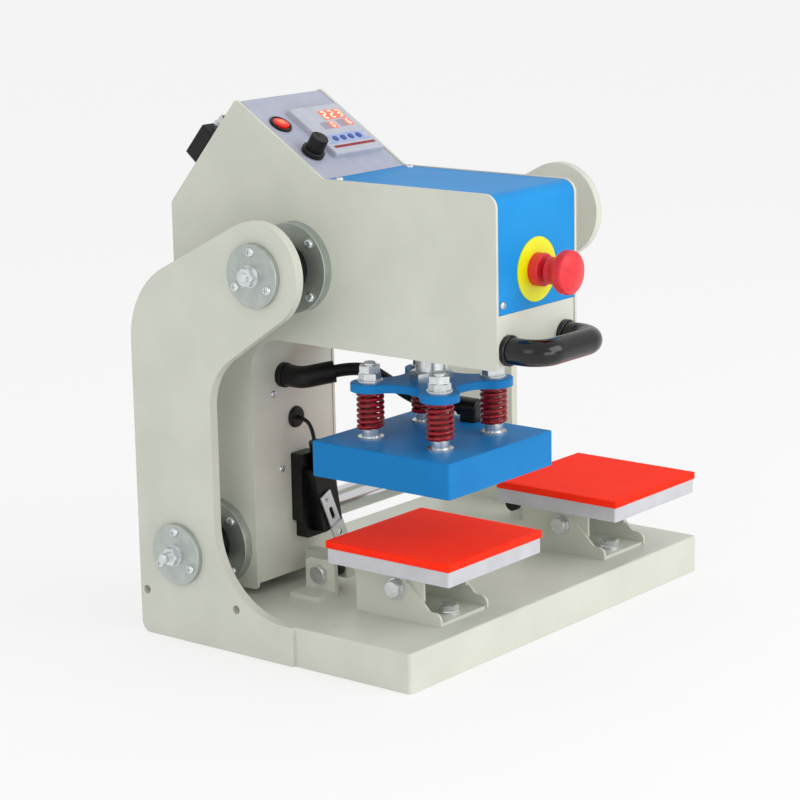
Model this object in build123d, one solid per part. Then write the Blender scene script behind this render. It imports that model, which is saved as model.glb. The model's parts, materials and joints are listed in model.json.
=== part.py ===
from build123d import *
from math import atan2, cos, degrees, hypot, pi, radians, sin, sqrt, tan
import os

os.makedirs("parts", exist_ok=True)

# Pneumatic two-station heat press. The frame rests on Z = 0, X runs along the shafts,
# +Y is the back and the origin is under the middle of the base.

# Base tray
BASE_WIDTH = 496.0
BASE_DEPTH = 342.0
BASE_HEIGHT = 39.0
BASE_SHEET = 2.5
BASE_CORNER = 4.0
BASE_HOLE_RADIUS = 1.6
BASE_HOLE_X = 26.0 - BASE_WIDTH / 2
BASE_HOLE_Y = -57.0

# Side plates, in the plane of Y and Z
PLATE_THICKNESS = 10.0
PLATE_PROUD = 3.0
PLATE_TOE_Y = -30.0
PLATE_FRONT_Y = 68.0
PLATE_END_RADIUS = 51.0
PLATE_TOP_SLOPE = 27.0
PLATE_UNDER_SLOPE = 34.0
PLATE_SHOULDER_RADIUS = 85.0
PLATE_HEEL_RADIUS = 11.0
PLATE_ARMPIT_RADIUS = 60.0
PLATE_INSTEP_RADIUS = 88.0
PLATE_HOLE_RADIUS = 4.5
PLATE_HOLE_HEIGHT = 44.5
PLATE_HOLE_Y = (42.5, 162.5)

# Shafts
SHAFT_RADIUS = 15.0
SHAFT_FIT = 0.05
UPPER_SHAFT_Y = 4.5
UPPER_SHAFT_Z = 378.7
LOWER_SHAFT_Y = 116.4
LOWER_SHAFT_Z = 89.5
CAP_RADIUS = 31.0
CAP_THICKNESS = 6.0
CAP_SCREW_CIRCLE = 23.0
CAP_SCREW_SIZE = 5.0
CAP_BOLT_RADIUS = 5.0
CAP_BOLT_REACH = (13.0, 19.0)

# Stations
STATION_REACH = 112.0
SECOND_REACH = 92.0
STATION_X = STATION_REACH + PLATE_THICKNESS - PLATE_PROUD - BASE_WIDTH / 2
STATION_PITCH = BASE_WIDTH + 2 * (PLATE_PROUD - PLATE_THICKNESS) - STATION_REACH - SECOND_REACH
PRESS_Y = -108.5

# Platens on their brackets
PAD_SIZE = 150.0
PAD_THICKNESS = 7.5
PLATEN_INSET = 1.0
PLATEN_THICKNESS = 14.7
PLATEN_BOTTOM_Z = 94.0
BRACKET_WIDTH = 76.5
BRACKET_LENGTH = 104.0
BRACKET_FRONT_Y = -145.0
BRACKET_SHEET = 3.0
BRACKET_TOP_GAP = 1.0
BRACKET_NOSE_HEIGHT = 13.0
BRACKET_SLOPE_START = 14.0
BRACKET_SLOPE_END = 56.0
SUPPORT_LENGTH = 62.0
SUPPORT_DEPTH = 34.0
SIDE_BOLT_Y = -91.0
SIDE_BOLT_Z = 69.5
SIDE_BOLT_RADIUS = 5.0
FLOOR_BOLT_Y = (-126.0, -58.0)
FLOOR_BOLT_RADIUS = 5.0

# Heat block
HEATER_SIZE = 165.0
HEATER_BOTTOM_Z = 181.5
HEATER_HEIGHT = 34.3
HEATER_SHEET = 1.5
HEATING_PLATE_HEIGHT = 20.0
PRESS_TRAVEL = 65.0

# Pressure studs, springs and the four-armed spider
STUD_SPACING = 84.0
STUD_RADIUS = 6.0
STUD_TOP_Z = 291.0
SPRING_BOTTOM_Z = 225.5
SPRING_HEIGHT = 37.5
SPRING_RADIUS = 13.6
SPRING_WIRE_RADIUS = 2.1
SPRING_TURNS = 5.5
SPRING_SEAT_GAP = 0.3
TAKE_UP = 5.0
SPIDER_THICKNESS = 8.0
SPIDER_EAR_RADIUS = 19.0
SPIDER_WAIST = 38.0

# Air cylinder in the head
CYLINDER_SIDE = 76.0
CYLINDER_BORE_RADIUS = 31.5
CYLINDER_CAP = 14.0
BARREL_HEIGHT = 98.0
PISTON_HEIGHT = 18.0
PISTON_FIT = 0.05
PISTON_TOP_GAP = 2.0
ROD_RADIUS = 10.0
ROD_COLLAR_RADIUS = 15.0
ROD_NUT_SIZE = 36.0
ROD_NUT_HEIGHT = 10.0

# Head and column, one box between two cheeks
HEAD_WIDTH = 126.0
CHEEK_THICKNESS = 3.0
SKIN = 2.0
SKIN_RECESS = 1.0
SKIN_GAP = 0.3
HEAD_FRONT_Y = -233.0
HEAD_BOTTOM_Z = 304.0
HEAD_TOP_Z = 465.2
HEAD_NOSE_RADIUS = 13.0
PANEL_LOW_Y = -31.0
PEAK_Y = 76.0
PEAK_Z = 534.6
CHEEK_REAR_Y = 165.5
SLOPE_LOW_Z = 429.0
COLUMN_FRONT_Y = 66.5
COLUMN_BOTTOM_Z = 45.7
COLUMN_FILLET = 36.0
COVER_LOW_Z = 354.5
COVER_TAB = 18.0
COVER_SCREW_SIZE = 4.0

# Flanged linear bearings
FLANGE_RADIUS = 44.0
FLANGE_THICKNESS = 10.0
FLANGE_SCREW_CIRCLE = 36.0
FLANGE_SCREW_SIZE = 5.0
BEARING_BODY_RADIUS = 26.0
BEARING_BODY_LENGTH = 34.0
BUFFER_RADIUS = 22.5
BUFFER_LENGTH = 17.0
BUFFER_GAP = 0.3

# Push handle
HANDLE_Z = 321.0
HANDLE_SPACING = 90.0
HANDLE_RADIUS = 12.5
HANDLE_REACH = 37.0
HANDLE_BEND = 20.0
HANDLE_FOOT_RADIUS = 14.5
HANDLE_FOOT = 5.0
HANDLE_SCREW_RADIUS = 4.0

# Emergency stop on the front cover
ESTOP_Z = 389.5
ESTOP_LABEL_RADIUS = 30.0
ESTOP_LABEL_THICKNESS = 1.0
ESTOP_COLLAR_RADIUS = 15.5
ESTOP_COLLAR_HEIGHT = 10.0
ESTOP_BODY_SIDE = 30.0
ESTOP_BODY_DEPTH = 42.0
ESTOP_STEM_RADIUS = 5.0
ESTOP_FIT = 0.3
ESTOP_HEAD_RADIUS = 20.5
ESTOP_HEAD_START = 16.5
ESTOP_HEAD_END = 44.0
ESTOP_NECK = 0.62
ESTOP_RIM = 12.0
ESTOP_ROUND = 3.2
ESTOP_ROOF = 7.0
ESTOP_TRAVEL = 4.5

# Control panel, in its own plane from the panel's low edge
DISPLAY_SIZE = 72.0
DISPLAY_RAISE = 6.0
DISPLAY_DEPTH = 34.0
DISPLAY_AT = (17.5, 61.0)
DISPLAY_CORNER = 2.0
KEY_RADIUS = 3.3
KEY_RAISE = 0.9
KEY_DEPTH = 2.0
KEY_TRAVEL = 0.5
KEY_GAP = 0.3
KEY_PITCH = 11.5
KEY_OFFSET = -15.0
SWITCH_AT = (-40.5, 83.0)
SWITCH_BEZEL_RADIUS = 11.5
SWITCH_BODY_RADIUS = 10.0
SWITCH_WELL_RADIUS = 9.0
SWITCH_BEZEL_HEIGHT = 2.5
SWITCH_BODY_DEPTH = 22.0
SWITCH_PIN_RADIUS = 1.2
ROCKER_RADIUS = 8.3
ROCKER_TILT = 7.0
KNOB_AT = (-40.0, 37.0)
KNOB_SKIRT_RADIUS = 11.5
KNOB_GRIP_RADIUS = 8.8
KNOB_SKIRT_HEIGHT = 5.0
KNOB_HEIGHT = 20.0
KNOB_LIFT = 1.0
KNOB_FLUTES = 16
POT_RADIUS = 12.0
POT_DEPTH = 11.0
POT_SHAFT_RADIUS = 3.0

# Air valve on the rear slope, in the slope's own plane from the peak
VALVE_PLATE = (46.0, 77.0)
VALVE_PLATE_START = 25.0
VALVE_PLATE_THICKNESS = 2.0
VALVE_X = -36.0
VALVE_SIZE = (38.0, 37.0, 15.0)
VALVE_START = 55.0
VALVE_STANDOFF = 7.0
AIR_TUBE_RADIUS = 4.05
FITTING_RADIUS = 7.0
FITTING_LENGTH = 13.0
FITTING_SPIGOT = 8.0

# Mains gland low on the back
GLAND_X = 30.0
GLAND_Z = 150.0
GLAND_NUT_SIZE = 22.0
GLAND_RADIUS = 9.5
GLAND_BORE_RADIUS = 4.2

# Heater cable
HEATER_CABLE_RADIUS = 6.5
BOOT_RADIUS = 11.0
BOOT_ARM = 32.0
BOOT_BEND = 16.0
BOOT_FLANGE = 1.5
HEATER_CABLE_ROUTE = [
    (STATION_X + 8.0, 20.0, 262.0),
    (STATION_X + 30.0, 0.0, 266.5),
    (STATION_X + 45.0, -22.0, 249.0),
    (STATION_X + 54.5, -45.0, 233.0),
    (STATION_X + 72.0, -65.0, 229.0),
    (STATION_X + 72.0, -88.0, 229.0),
]
ELBOW_RADIUS = 9.5
ELBOW_FOOT = 11.0
ELBOW_CENTRE_Y = -102.0

# Position switch on the column
SWITCH_CABLE_RADIUS = 2.0
GROMMET_RADIUS = 11.0
GROMMET_THICKNESS = 4.0
SWITCH_CABLE_ROUTE = [
    (STATION_X + 2.0, 63.5, 211.0),
    (STATION_X + 2.0, 52.5, 210.0),
    (STATION_X + 4.2, 47.0, 198.5),
    (STATION_X + 6.4, 47.0, 187.2),
]
LIMIT_MOUNT = (27.0, 14.0, 70.0)
LIMIT_MOUNT_CENTRE = (STATION_X + 6.5, 140.0)
LIMIT_TOE = (6.0, 18.0)
LIMIT_BODY = (30.0, 13.0, 68.0)
LIMIT_BODY_CENTRE = (STATION_X + 18.5, 128.0)
LIMIT_TILT = 11.0
LIMIT_BOOT_RADIUS = 6.4
LIMIT_BOOT_HEIGHT = 28.0
LEVER_WIDTH = 16.0
LEVER_LENGTH = 52.0
LEVER_THICKNESS = 2.0
LEVER_PIN_RADIUS = 2.0
LEVER_PIN_AT = (-5.0, -2.0)
LEVER_LEAN = 24.0

# Stops on the base and the block that meets them
STOP_Y = 22.0
STOP_Z = 60.0
STOP_TIP_END_X = STATION_X + 11.0
STOP_BLOCK_WIDTH = 14.0
STOP_BLOCK_HEIGHT = 22.0
STOP_GAP = 0.5
STOP_BOLT_RADIUS = 5.0
STOP_TIP_RADIUS = 8.0
STOP_TIP_LENGTH = 9.0
STOP_TAB = (38.0, 36.0, 5.0)

# Metric fastener proportions, as shares of the thread size
HEX_FLATS = 1.7
HEX_HEAD = 0.65
NUT_HEIGHT = 0.8
WASHER_RADIUS = 1.05
WASHER_THICKNESS = 0.2
PAN_RADIUS = 0.95
PAN_HEIGHT = 0.62
THREAD_FIT = 0.05

# Derived places
PLATE_OUTER_X = BASE_WIDTH / 2 + PLATE_PROUD
PLATE_INNER_X = PLATE_OUTER_X - PLATE_THICKNESS
PLATE_REAR_Y = BASE_DEPTH / 2
HEAD_LEFT_X = STATION_X - HEAD_WIDTH / 2
HEAD_RIGHT_X = STATION_X + HEAD_WIDTH / 2
INNER_LEFT_X = HEAD_LEFT_X + CHEEK_THICKNESS + SKIN_GAP / 2
INNER_RIGHT_X = HEAD_RIGHT_X - CHEEK_THICKNESS - SKIN_GAP / 2
PLATEN_TOP_Z = PLATEN_BOTTOM_Z + PLATEN_THICKNESS
PAD_TOP_Z = PLATEN_TOP_Z + PAD_THICKNESS
HEATER_TOP_Z = HEATER_BOTTOM_Z + HEATER_HEIGHT
SPIDER_BOTTOM_Z = SPRING_BOTTOM_Z + SPRING_HEIGHT
SPIDER_TOP_Z = SPIDER_BOTTOM_Z + SPIDER_THICKNESS
STATIONS = [STATION_X, STATION_X + STATION_PITCH]
SHAFTS = [(UPPER_SHAFT_Y, UPPER_SHAFT_Z), (LOWER_SHAFT_Y, LOWER_SHAFT_Z)]
FRONT_SKIN_Y = HEAD_FRONT_Y + SKIN_RECESS
COLUMN_SKIN_Y = COLUMN_FRONT_Y + SKIN_RECESS
REAR_SKIN_Y = CHEEK_REAR_Y - SKIN_RECESS
FLOOR_TOP_Z = HEAD_BOTTOM_Z + SKIN_RECESS + SKIN

nodes = {}


def block(x0, x1, y0, y1, z0, z1):
    """Box between two corners."""
    return Pos((x0 + x1) / 2, (y0 + y1) / 2, (z0 + z1) / 2) * Box(x1 - x0, y1 - y0, z1 - z0)


def cylinder(radius, height):
    """Cylinder that stands on its own origin."""
    return Cylinder(radius, height, align=(Align.CENTER, Align.CENTER, Align.MIN))


def hexagon(flats, height):
    """Hexagonal prism that stands on its own origin."""
    return extrude(RegularPolygon(flats / 2 / cos(pi / 6), 6), height)


def facing(point, direction):
    """Plane at a point whose Z axis is a direction."""
    return Plane(origin=point, z_dir=direction)


def across(profile, x0, x1):
    """Y-Z profile made solid from x0 to x1."""
    return Plane(origin=(x0, 0, 0), x_dir=(0, 1, 0), z_dir=(1, 0, 0)) * extrude(profile, x1 - x0)


def washer(size, hole):
    return cylinder(size * WASHER_RADIUS, size * WASHER_THICKNESS) - cylinder(hole, size)


def pan_screw(size, shank):
    """Cross-recessed screw: the head stands above the origin, the shank goes below."""
    head = cylinder(size * PAN_RADIUS, size * PAN_HEIGHT)
    head = fillet(head.edges().sort_by(Axis.Z)[-1], size * PAN_HEIGHT * 0.8)
    slot = Pos(0, 0, size * PAN_HEIGHT) * Box(size, size / 5, size * 0.6)
    return head - slot - Rot(0, 0, 90) * slot + Pos(0, 0, -shank) * cylinder(size / 2, shank)


def hex_bolt(size, shank):
    """Hexagon bolt: the head stands above the origin, the shank goes below."""
    head = hexagon(size * HEX_FLATS, size * HEX_HEAD) & cone_cap(size * HEX_FLATS, size * HEX_HEAD)
    return head + Pos(0, 0, -shank) * cylinder(size / 2, shank)


def cone_cap(flats, height):
    """Round stock that turns a hexagon's sharp upper corners away."""
    stock = cylinder(flats / 2 / cos(pi / 6), height)
    return chamfer(stock.edges().sort_by(Axis.Z)[-1], height / 4, flats / 10)


def hex_nut(size, hole):
    height = size * NUT_HEIGHT
    return (hexagon(size * HEX_FLATS, height) & cone_cap(size * HEX_FLATS, height)) - cylinder(hole, height)


def tube(path, radius):
    """Round bar along a path, square to both ends."""
    start = Plane(origin=path @ 0, z_dir=path % 0)
    return sweep(start * Circle(radius), path=path)


def cord_path(name, route, radius):
    """Straight runs joined by arcs as large as the runs allow; prints the arcs' radii."""
    points = [Vector(*p) for p in route]
    radii = []
    for before, at, after in zip(points, points[1:], points[2:]):
        turn = radians((at - before).get_angle(after - at))
        radii.append(0.45 * min((at - before).length, (after - at).length) / tan(turn / 2))
    path = FilletPolyline(*points, radius=radii)
    solid = tube(path, radius)
    share = solid.volume / (pi * radius ** 2 * path.length)
    print(name, "radii", [round(r, 1) for r in radii], "length", round(path.length, 1), "volume share", round(share, 4))
    return solid


def helix_wire(radius, rise, turns):
    """Helix from biarcs of a quarter turn, starting on +X at Z = 0."""
    quarters = round(turns * 4)
    pitch = rise / turns

    def at(step):
        angle = step * pi / 2
        point = Vector(radius * cos(angle), radius * sin(angle), pitch * step / 4)
        heading = Vector(-radius * sin(angle), radius * cos(angle), pitch / (2 * pi))
        return point, heading.normalized()

    edges = []
    for step in range(quarters):
        (p0, t0), (p1, t1) = at(step), at(step + 1)
        chord = p1 - p0
        lean = chord.dot(t0 + t1)
        bend = 2 * (1 - t0.dot(t1))
        reach = (sqrt(lean ** 2 + bend * chord.dot(chord)) - lean) / bend
        q0 = p0 + t0 * reach
        q1 = p1 - t1 * reach
        middle = (q0 + q1) * 0.5
        edges.append(TangentArc(p0, middle, tangent=t0))
        edges.append(TangentArc(middle, p1, tangent=q1 - q0))
    return Wire(edges)


def coil_gap(radius, rise, turns, wire_radius):
    """Least gap between neighbouring turns, measured on points."""
    count = round(turns * 72)
    points = [
        (radius * cos(2 * pi * i / 72), radius * sin(2 * pi * i / 72), rise * i / count)
        for i in range(count + 1)
    ]
    return min(
        hypot(a[0] - b[0], a[1] - b[1], a[2] - b[2]) - 2 * wire_radius
        for i, a in enumerate(points)
        for b in points[i + 48:i + 97]
    )


# Base

def base_tray():
    tray = block(-BASE_WIDTH / 2, BASE_WIDTH / 2, -BASE_DEPTH / 2, BASE_DEPTH / 2, 0, BASE_HEIGHT)
    tray = fillet(tray.edges().filter_by(Axis.Z).group_by(Axis.Y)[0], BASE_CORNER)
    tray = fillet(tray.faces().sort_by(Axis.Z)[-1].edges().group_by(Axis.Y)[0], BASE_SHEET * 0.9)
    wide = BASE_WIDTH / 2 - BASE_SHEET
    narrow = PLATE_INNER_X - BASE_SHEET
    ceiling = BASE_HEIGHT - BASE_SHEET
    for side in (-1, 1):
        notch = sorted((side * PLATE_INNER_X, side * BASE_WIDTH))
        tray -= block(*notch, PLATE_TOE_Y, BASE_DEPTH, -1, BASE_HEIGHT + 1)
    tray -= block(-wide, wide, BASE_SHEET - BASE_DEPTH / 2, PLATE_TOE_Y - BASE_SHEET, -1, ceiling)
    tray -= block(-narrow, narrow, PLATE_TOE_Y - 2 * BASE_SHEET, BASE_DEPTH / 2 - BASE_SHEET, -1, ceiling)
    tray -= Pos(BASE_HOLE_X, BASE_HOLE_Y, 0) * cylinder(BASE_HOLE_RADIUS, BASE_HEIGHT + 1)
    for x in STATIONS:
        for y in FLOOR_BOLT_Y:
            tray -= Pos(x, y, 0) * cylinder(FLOOR_BOLT_RADIUS + THREAD_FIT, BASE_HEIGHT + 1)
    return tray


def plate_profile():
    """Outline of a side plate: a foot, a rear post and an arm with a round end."""
    top, under = radians(PLATE_TOP_SLOPE), radians(PLATE_UNDER_SLOPE)
    end_top = (UPPER_SHAFT_Y + PLATE_END_RADIUS * sin(top), UPPER_SHAFT_Z + PLATE_END_RADIUS * cos(top))
    end_low = (UPPER_SHAFT_Y - PLATE_END_RADIUS * sin(under), UPPER_SHAFT_Z - PLATE_END_RADIUS * cos(under))
    shoulder_z = end_top[1] - (PLATE_REAR_Y - end_top[0]) * tan(top)
    armpit_z = end_low[1] - (PLATE_FRONT_Y - end_low[0]) * tan(under)
    outline = FilletPolyline(
        end_top,
        (PLATE_REAR_Y, shoulder_z),
        (PLATE_REAR_Y, 0),
        (PLATE_TOE_Y, 0),
        (PLATE_TOE_Y, BASE_HEIGHT),
        (PLATE_FRONT_Y, BASE_HEIGHT),
        (PLATE_FRONT_Y, armpit_z),
        end_low,
        radius=[PLATE_SHOULDER_RADIUS, PLATE_HEEL_RADIUS, 0.5, 0.5, PLATE_INSTEP_RADIUS, PLATE_ARMPIT_RADIUS],
    )
    half = (top - under) / 2
    front = (UPPER_SHAFT_Y - PLATE_END_RADIUS * cos(half), UPPER_SHAFT_Z - PLATE_END_RADIUS * sin(half))
    return make_face(Wire(outline.edges() + [ThreePointArc(end_low, front, end_top).edge()]))


def cap_screw_points():
    return [(CAP_SCREW_CIRCLE * cos(a), CAP_SCREW_CIRCLE * sin(a)) for a in (pi / 2, pi * 7 / 6, pi * 11 / 6)]


def side_plate(side):
    outer = side * PLATE_OUTER_X
    plate = across(plate_profile(), *sorted((outer, side * PLATE_INNER_X)))
    for y, z in SHAFTS:
        plate -= across(Pos(y, z) * Circle(SHAFT_RADIUS + SHAFT_FIT), *sorted((outer + side, side * PLATE_INNER_X - side)))
        for u, v in cap_screw_points():
            hole = Pos(y + u, z + v) * Circle(CAP_SCREW_SIZE / 2 + THREAD_FIT)
            plate -= across(hole, *sorted((outer + side, side * PLATE_INNER_X - side)))
    for y in PLATE_HOLE_Y:
        hole = Pos(y, PLATE_HOLE_HEIGHT) * Circle(PLATE_HOLE_RADIUS)
        plate -= across(hole, *sorted((outer + side, side * PLATE_INNER_X - side)))
    return plate


def shaft(y, z):
    bar = across(Pos(y, z) * Circle(SHAFT_RADIUS), -PLATE_OUTER_X, PLATE_OUTER_X)
    for side in (-1, 1):
        bore = Pos(y, z) * Circle(CAP_BOLT_RADIUS + THREAD_FIT)
        bar -= across(bore, *sorted((side * PLATE_OUTER_X + side, side * (PLATE_OUTER_X - 3 * CAP_THICKNESS))))
    return chamfer(bar.edges().filter_by(GeomType.CIRCLE).group_by(Axis.X)[-1], 0.5)


def end_caps():
    caps = []
    for side in (-1, 1):
        for y, z in SHAFTS:
            cap = cylinder(CAP_RADIUS, CAP_THICKNESS)
            cap = fillet(cap.edges().sort_by(Axis.Z)[-1], 1.0)
            cap -= cylinder(CAP_BOLT_RADIUS + THREAD_FIT, CAP_THICKNESS)
            for u, v in cap_screw_points():
                cap -= Pos(u, v) * cylinder(CAP_SCREW_SIZE / 2 + THREAD_FIT, CAP_THICKNESS)
            plane = Plane(origin=(side * PLATE_OUTER_X, y, z), x_dir=(0, side, 0), z_dir=(side, 0, 0))
            caps.append(plane * cap)
    return caps


def end_cap_fasteners():
    parts = []
    for side in (-1, 1):
        for (y, z), reach in zip(SHAFTS, CAP_BOLT_REACH):
            plane = Plane(
                origin=(side * (PLATE_OUTER_X + CAP_THICKNESS), y, z), x_dir=(0, side, 0), z_dir=(side, 0, 0)
            )
            for u, v in cap_screw_points():
                parts.append(plane * Pos(u, v) * pan_screw(CAP_SCREW_SIZE, CAP_THICKNESS + PLATE_THICKNESS * 0.8))
            size = 2 * CAP_BOLT_RADIUS
            parts.append(plane * washer(size, CAP_BOLT_RADIUS + THREAD_FIT))
            seat = size * WASHER_THICKNESS
            parts.append(plane * Pos(0, 0, seat) * hex_nut(size, CAP_BOLT_RADIUS + THREAD_FIT))
            stud = cylinder(CAP_BOLT_RADIUS, reach + 3 * CAP_THICKNESS)
            stud = chamfer(stud.edges().sort_by(Axis.Z)[-1], 1.2)
            parts.append(plane * Pos(0, 0, -3 * CAP_THICKNESS) * stud)
    return parts


nodes["base_tray"] = [base_tray()]
nodes["side_plate_left"] = [side_plate(-1)]
nodes["side_plate_right"] = [side_plate(1)]
nodes["upper_shaft"] = [shaft(*SHAFTS[0])]
nodes["lower_shaft"] = [shaft(*SHAFTS[1])]
nodes["shaft_end_caps"] = end_caps()
nodes["end_cap_fasteners"] = end_cap_fasteners()


# Stations

def platen_bracket(x):
    """Open channel: its floor is bolted down and its walls slope to a rounded nose."""
    rear = BRACKET_FRONT_Y + BRACKET_LENGTH
    top = PLATEN_BOTTOM_Z - BRACKET_TOP_GAP
    nose = BASE_HEIGHT + BRACKET_NOSE_HEIGHT
    wall = FilletPolyline(
        (rear - 1, BASE_HEIGHT),
        (BRACKET_FRONT_Y, BASE_HEIGHT),
        (BRACKET_FRONT_Y, nose),
        (BRACKET_FRONT_Y + BRACKET_SLOPE_START, nose),
        (BRACKET_FRONT_Y + BRACKET_SLOPE_END, top),
        (rear, top),
        (rear, BASE_HEIGHT),
        radius=[2, 8, 5, 6, 2],
    )
    face = make_face(Wire(wall.edges() + [Line((rear, BASE_HEIGHT), (rear - 1, BASE_HEIGHT)).edge()]))
    left, right = x - BRACKET_WIDTH / 2, x + BRACKET_WIDTH / 2
    bracket = across(face, left, left + BRACKET_SHEET) + across(face, right - BRACKET_SHEET, right)
    bracket += block(left, right, BRACKET_FRONT_Y + 2, rear, BASE_HEIGHT, BASE_HEIGHT + BRACKET_SHEET)
    bracket -= across(
        Pos(SIDE_BOLT_Y, SIDE_BOLT_Z) * Circle(SIDE_BOLT_RADIUS + THREAD_FIT), left - 1, right + 1
    )
    for y in FLOOR_BOLT_Y:
        bracket -= Pos(x, y, BASE_HEIGHT) * cylinder(FLOOR_BOLT_RADIUS + THREAD_FIT, BRACKET_SHEET)
    return bracket


def platen_support(x):
    """Upside-down channel under the plate, clamped between the bracket's walls."""
    half = BRACKET_WIDTH / 2 - BRACKET_SHEET
    y0, y1 = SIDE_BOLT_Y - SUPPORT_LENGTH / 2, SIDE_BOLT_Y + SUPPORT_LENGTH / 2
    low = PLATEN_BOTTOM_Z - SUPPORT_DEPTH
    support = block(x - half, x + half, y0, y1, low, PLATEN_BOTTOM_Z)
    inner = half - BRACKET_SHEET
    support -= block(x - inner, x + inner, y0, y1, low, PLATEN_BOTTOM_Z - BRACKET_SHEET)
    return support - across(
        Pos(SIDE_BOLT_Y, SIDE_BOLT_Z) * Circle(SIDE_BOLT_RADIUS + THREAD_FIT), x - half - 1, x + half + 1
    )


def bracket_bolts():
    parts = []
    for x in STATIONS:
        for side in (-1, 1):
            size = 2 * SIDE_BOLT_RADIUS
            thick = size * WASHER_THICKNESS
            outer = facing((x + side * BRACKET_WIDTH / 2, SIDE_BOLT_Y, SIDE_BOLT_Z), (side, 0, 0))
            grip = 2 * BRACKET_SHEET + thick + size * NUT_HEIGHT
            parts.append(outer * washer(size, SIDE_BOLT_RADIUS + THREAD_FIT))
            parts.append(outer * Pos(0, 0, thick) * hex_bolt(size, grip + 2))
            nut = hex_nut(size, SIDE_BOLT_RADIUS + THREAD_FIT)
            parts.append(outer * Pos(0, 0, -2 * BRACKET_SHEET - size * NUT_HEIGHT) * nut)
        for y in FLOOR_BOLT_Y:
            size = 2 * FLOOR_BOLT_RADIUS
            thick = size * WASHER_THICKNESS
            seat = BASE_HEIGHT + BRACKET_SHEET
            parts.append(Pos(x, y, seat) * washer(size, FLOOR_BOLT_RADIUS + THREAD_FIT))
            parts.append(Pos(x, y, seat + thick) * hex_bolt(size, 2 * BRACKET_SHEET + 3 * size))
            nut = hex_nut(size, FLOOR_BOLT_RADIUS + THREAD_FIT)
            parts.append(Pos(x, y, BASE_HEIGHT - BASE_SHEET - size * NUT_HEIGHT) * nut)
    return parts


def square_slab(x, side, z0, z1, corner):
    slab = block(x - side / 2, x + side / 2, PRESS_Y - side / 2, PRESS_Y + side / 2, z0, z1)
    return fillet(slab.edges().filter_by(Axis.Z), corner)


nodes["platen_brackets"] = [platen_bracket(x) for x in STATIONS]
nodes["platen_supports"] = [platen_support(x) for x in STATIONS]
nodes["bracket_bolts"] = bracket_bolts()
PLATEN_SIZE = PAD_SIZE - 2 * PLATEN_INSET
nodes["platens"] = [square_slab(x, PLATEN_SIZE, PLATEN_BOTTOM_Z, PLATEN_TOP_Z, 2.0) for x in STATIONS]
nodes["silicone_pads"] = [square_slab(x, PAD_SIZE, PLATEN_TOP_Z, PAD_TOP_Z, 1.0) for x in STATIONS]

# Stops: each bolt's rubber tip faces the block on the column at one end of the travel.
STOP_BLOCK_X0 = STOP_TIP_END_X + STOP_GAP
STOP_ENDS = [
    (STOP_TIP_END_X, -1),
    (STOP_BLOCK_X0 + STOP_BLOCK_WIDTH + STATION_PITCH + STOP_GAP, 1),
]
stop_brackets, stop_bolts, stop_tips = [], [], []
for tip_x, away in STOP_ENDS:
    width, height, thick = STOP_TAB
    size = 2 * STOP_BOLT_RADIUS
    tab_x = tip_x + away * (STOP_TIP_LENGTH + size * NUT_HEIGHT * 2)
    tab = block(*sorted((tab_x, tab_x + away * thick)), STOP_Y - width / 2, STOP_Y + width / 2, BASE_HEIGHT, BASE_HEIGHT + height)
    tab = fillet(tab.edges().filter_by(Axis.X).group_by(Axis.Z)[-1], 8)
    foot = block(
        *sorted((tab_x, tab_x + away * width * 0.8)), STOP_Y - width / 2, STOP_Y + width / 2, BASE_HEIGHT, BASE_HEIGHT + thick
    )
    hole = across(Pos(STOP_Y, STOP_Z) * Circle(STOP_BOLT_RADIUS + THREAD_FIT), *sorted((tab_x - away, tab_x + away * 2 * thick)))
    stop_brackets.append(tab + foot - hole)
    outer = facing((tab_x + away * thick, STOP_Y, STOP_Z), (away, 0, 0))
    inner = facing((tab_x, STOP_Y, STOP_Z), (-away, 0, 0))
    tip = facing((tip_x, STOP_Y, STOP_Z), (away, 0, 0))
    nut = hex_nut(size, STOP_BOLT_RADIUS + THREAD_FIT)
    reach = abs(tab_x - tip_x) - STOP_TIP_LENGTH
    stop_bolts.append(outer * hex_bolt(size, thick + reach))
    stop_bolts.append(inner * nut)
    stop_tips.append(tip * fillet(cylinder(STOP_TIP_RADIUS, STOP_TIP_LENGTH).edges().sort_by(Axis.Z)[0], 1.5))
nodes["stop_brackets"] = stop_brackets
nodes["stop_bolts"] = stop_bolts
nodes["stop_tips"] = stop_tips


# Carriage: two cheeks with skins between them, all from one outline

def head_outline(inset):
    middle = ((HEAD_FRONT_Y + COLUMN_FRONT_Y) / 2, HEAD_BOTTOM_Z)
    loop = FilletPolyline(
        middle,
        (HEAD_FRONT_Y, HEAD_BOTTOM_Z),
        (HEAD_FRONT_Y, HEAD_TOP_Z),
        (PANEL_LOW_Y, HEAD_TOP_Z),
        (PEAK_Y, PEAK_Z),
        (CHEEK_REAR_Y, SLOPE_LOW_Z),
        (CHEEK_REAR_Y, COLUMN_BOTTOM_Z),
        (COLUMN_FRONT_Y, COLUMN_BOTTOM_Z),
        (COLUMN_FRONT_Y, HEAD_BOTTOM_Z),
        (middle[0] + 1, HEAD_BOTTOM_Z),
        radius=[4, HEAD_NOSE_RADIUS, 5, 5, 8, 5, 5, COLUMN_FILLET],
    )
    face = make_face(Wire(loop.edges() + [Line((middle[0] + 1, HEAD_BOTTOM_Z), middle).edge()]))
    return offset(face, -inset) if inset else face


def window(y0, y1, z0, z1):
    return Pos((y0 + y1) / 2, (z0 + z1) / 2) * Rectangle(y1 - y0, z1 - z0)


SKIN_RING = head_outline(SKIN_RECESS) - head_outline(SKIN_RECESS + SKIN)


def skin(y0, y1, z0, z1):
    """Stretch of the folded skin that lies inside a window of the outline."""
    return across(SKIN_RING & window(y0, y1, z0, z1), INNER_LEFT_X, INNER_RIGHT_X)


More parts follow.
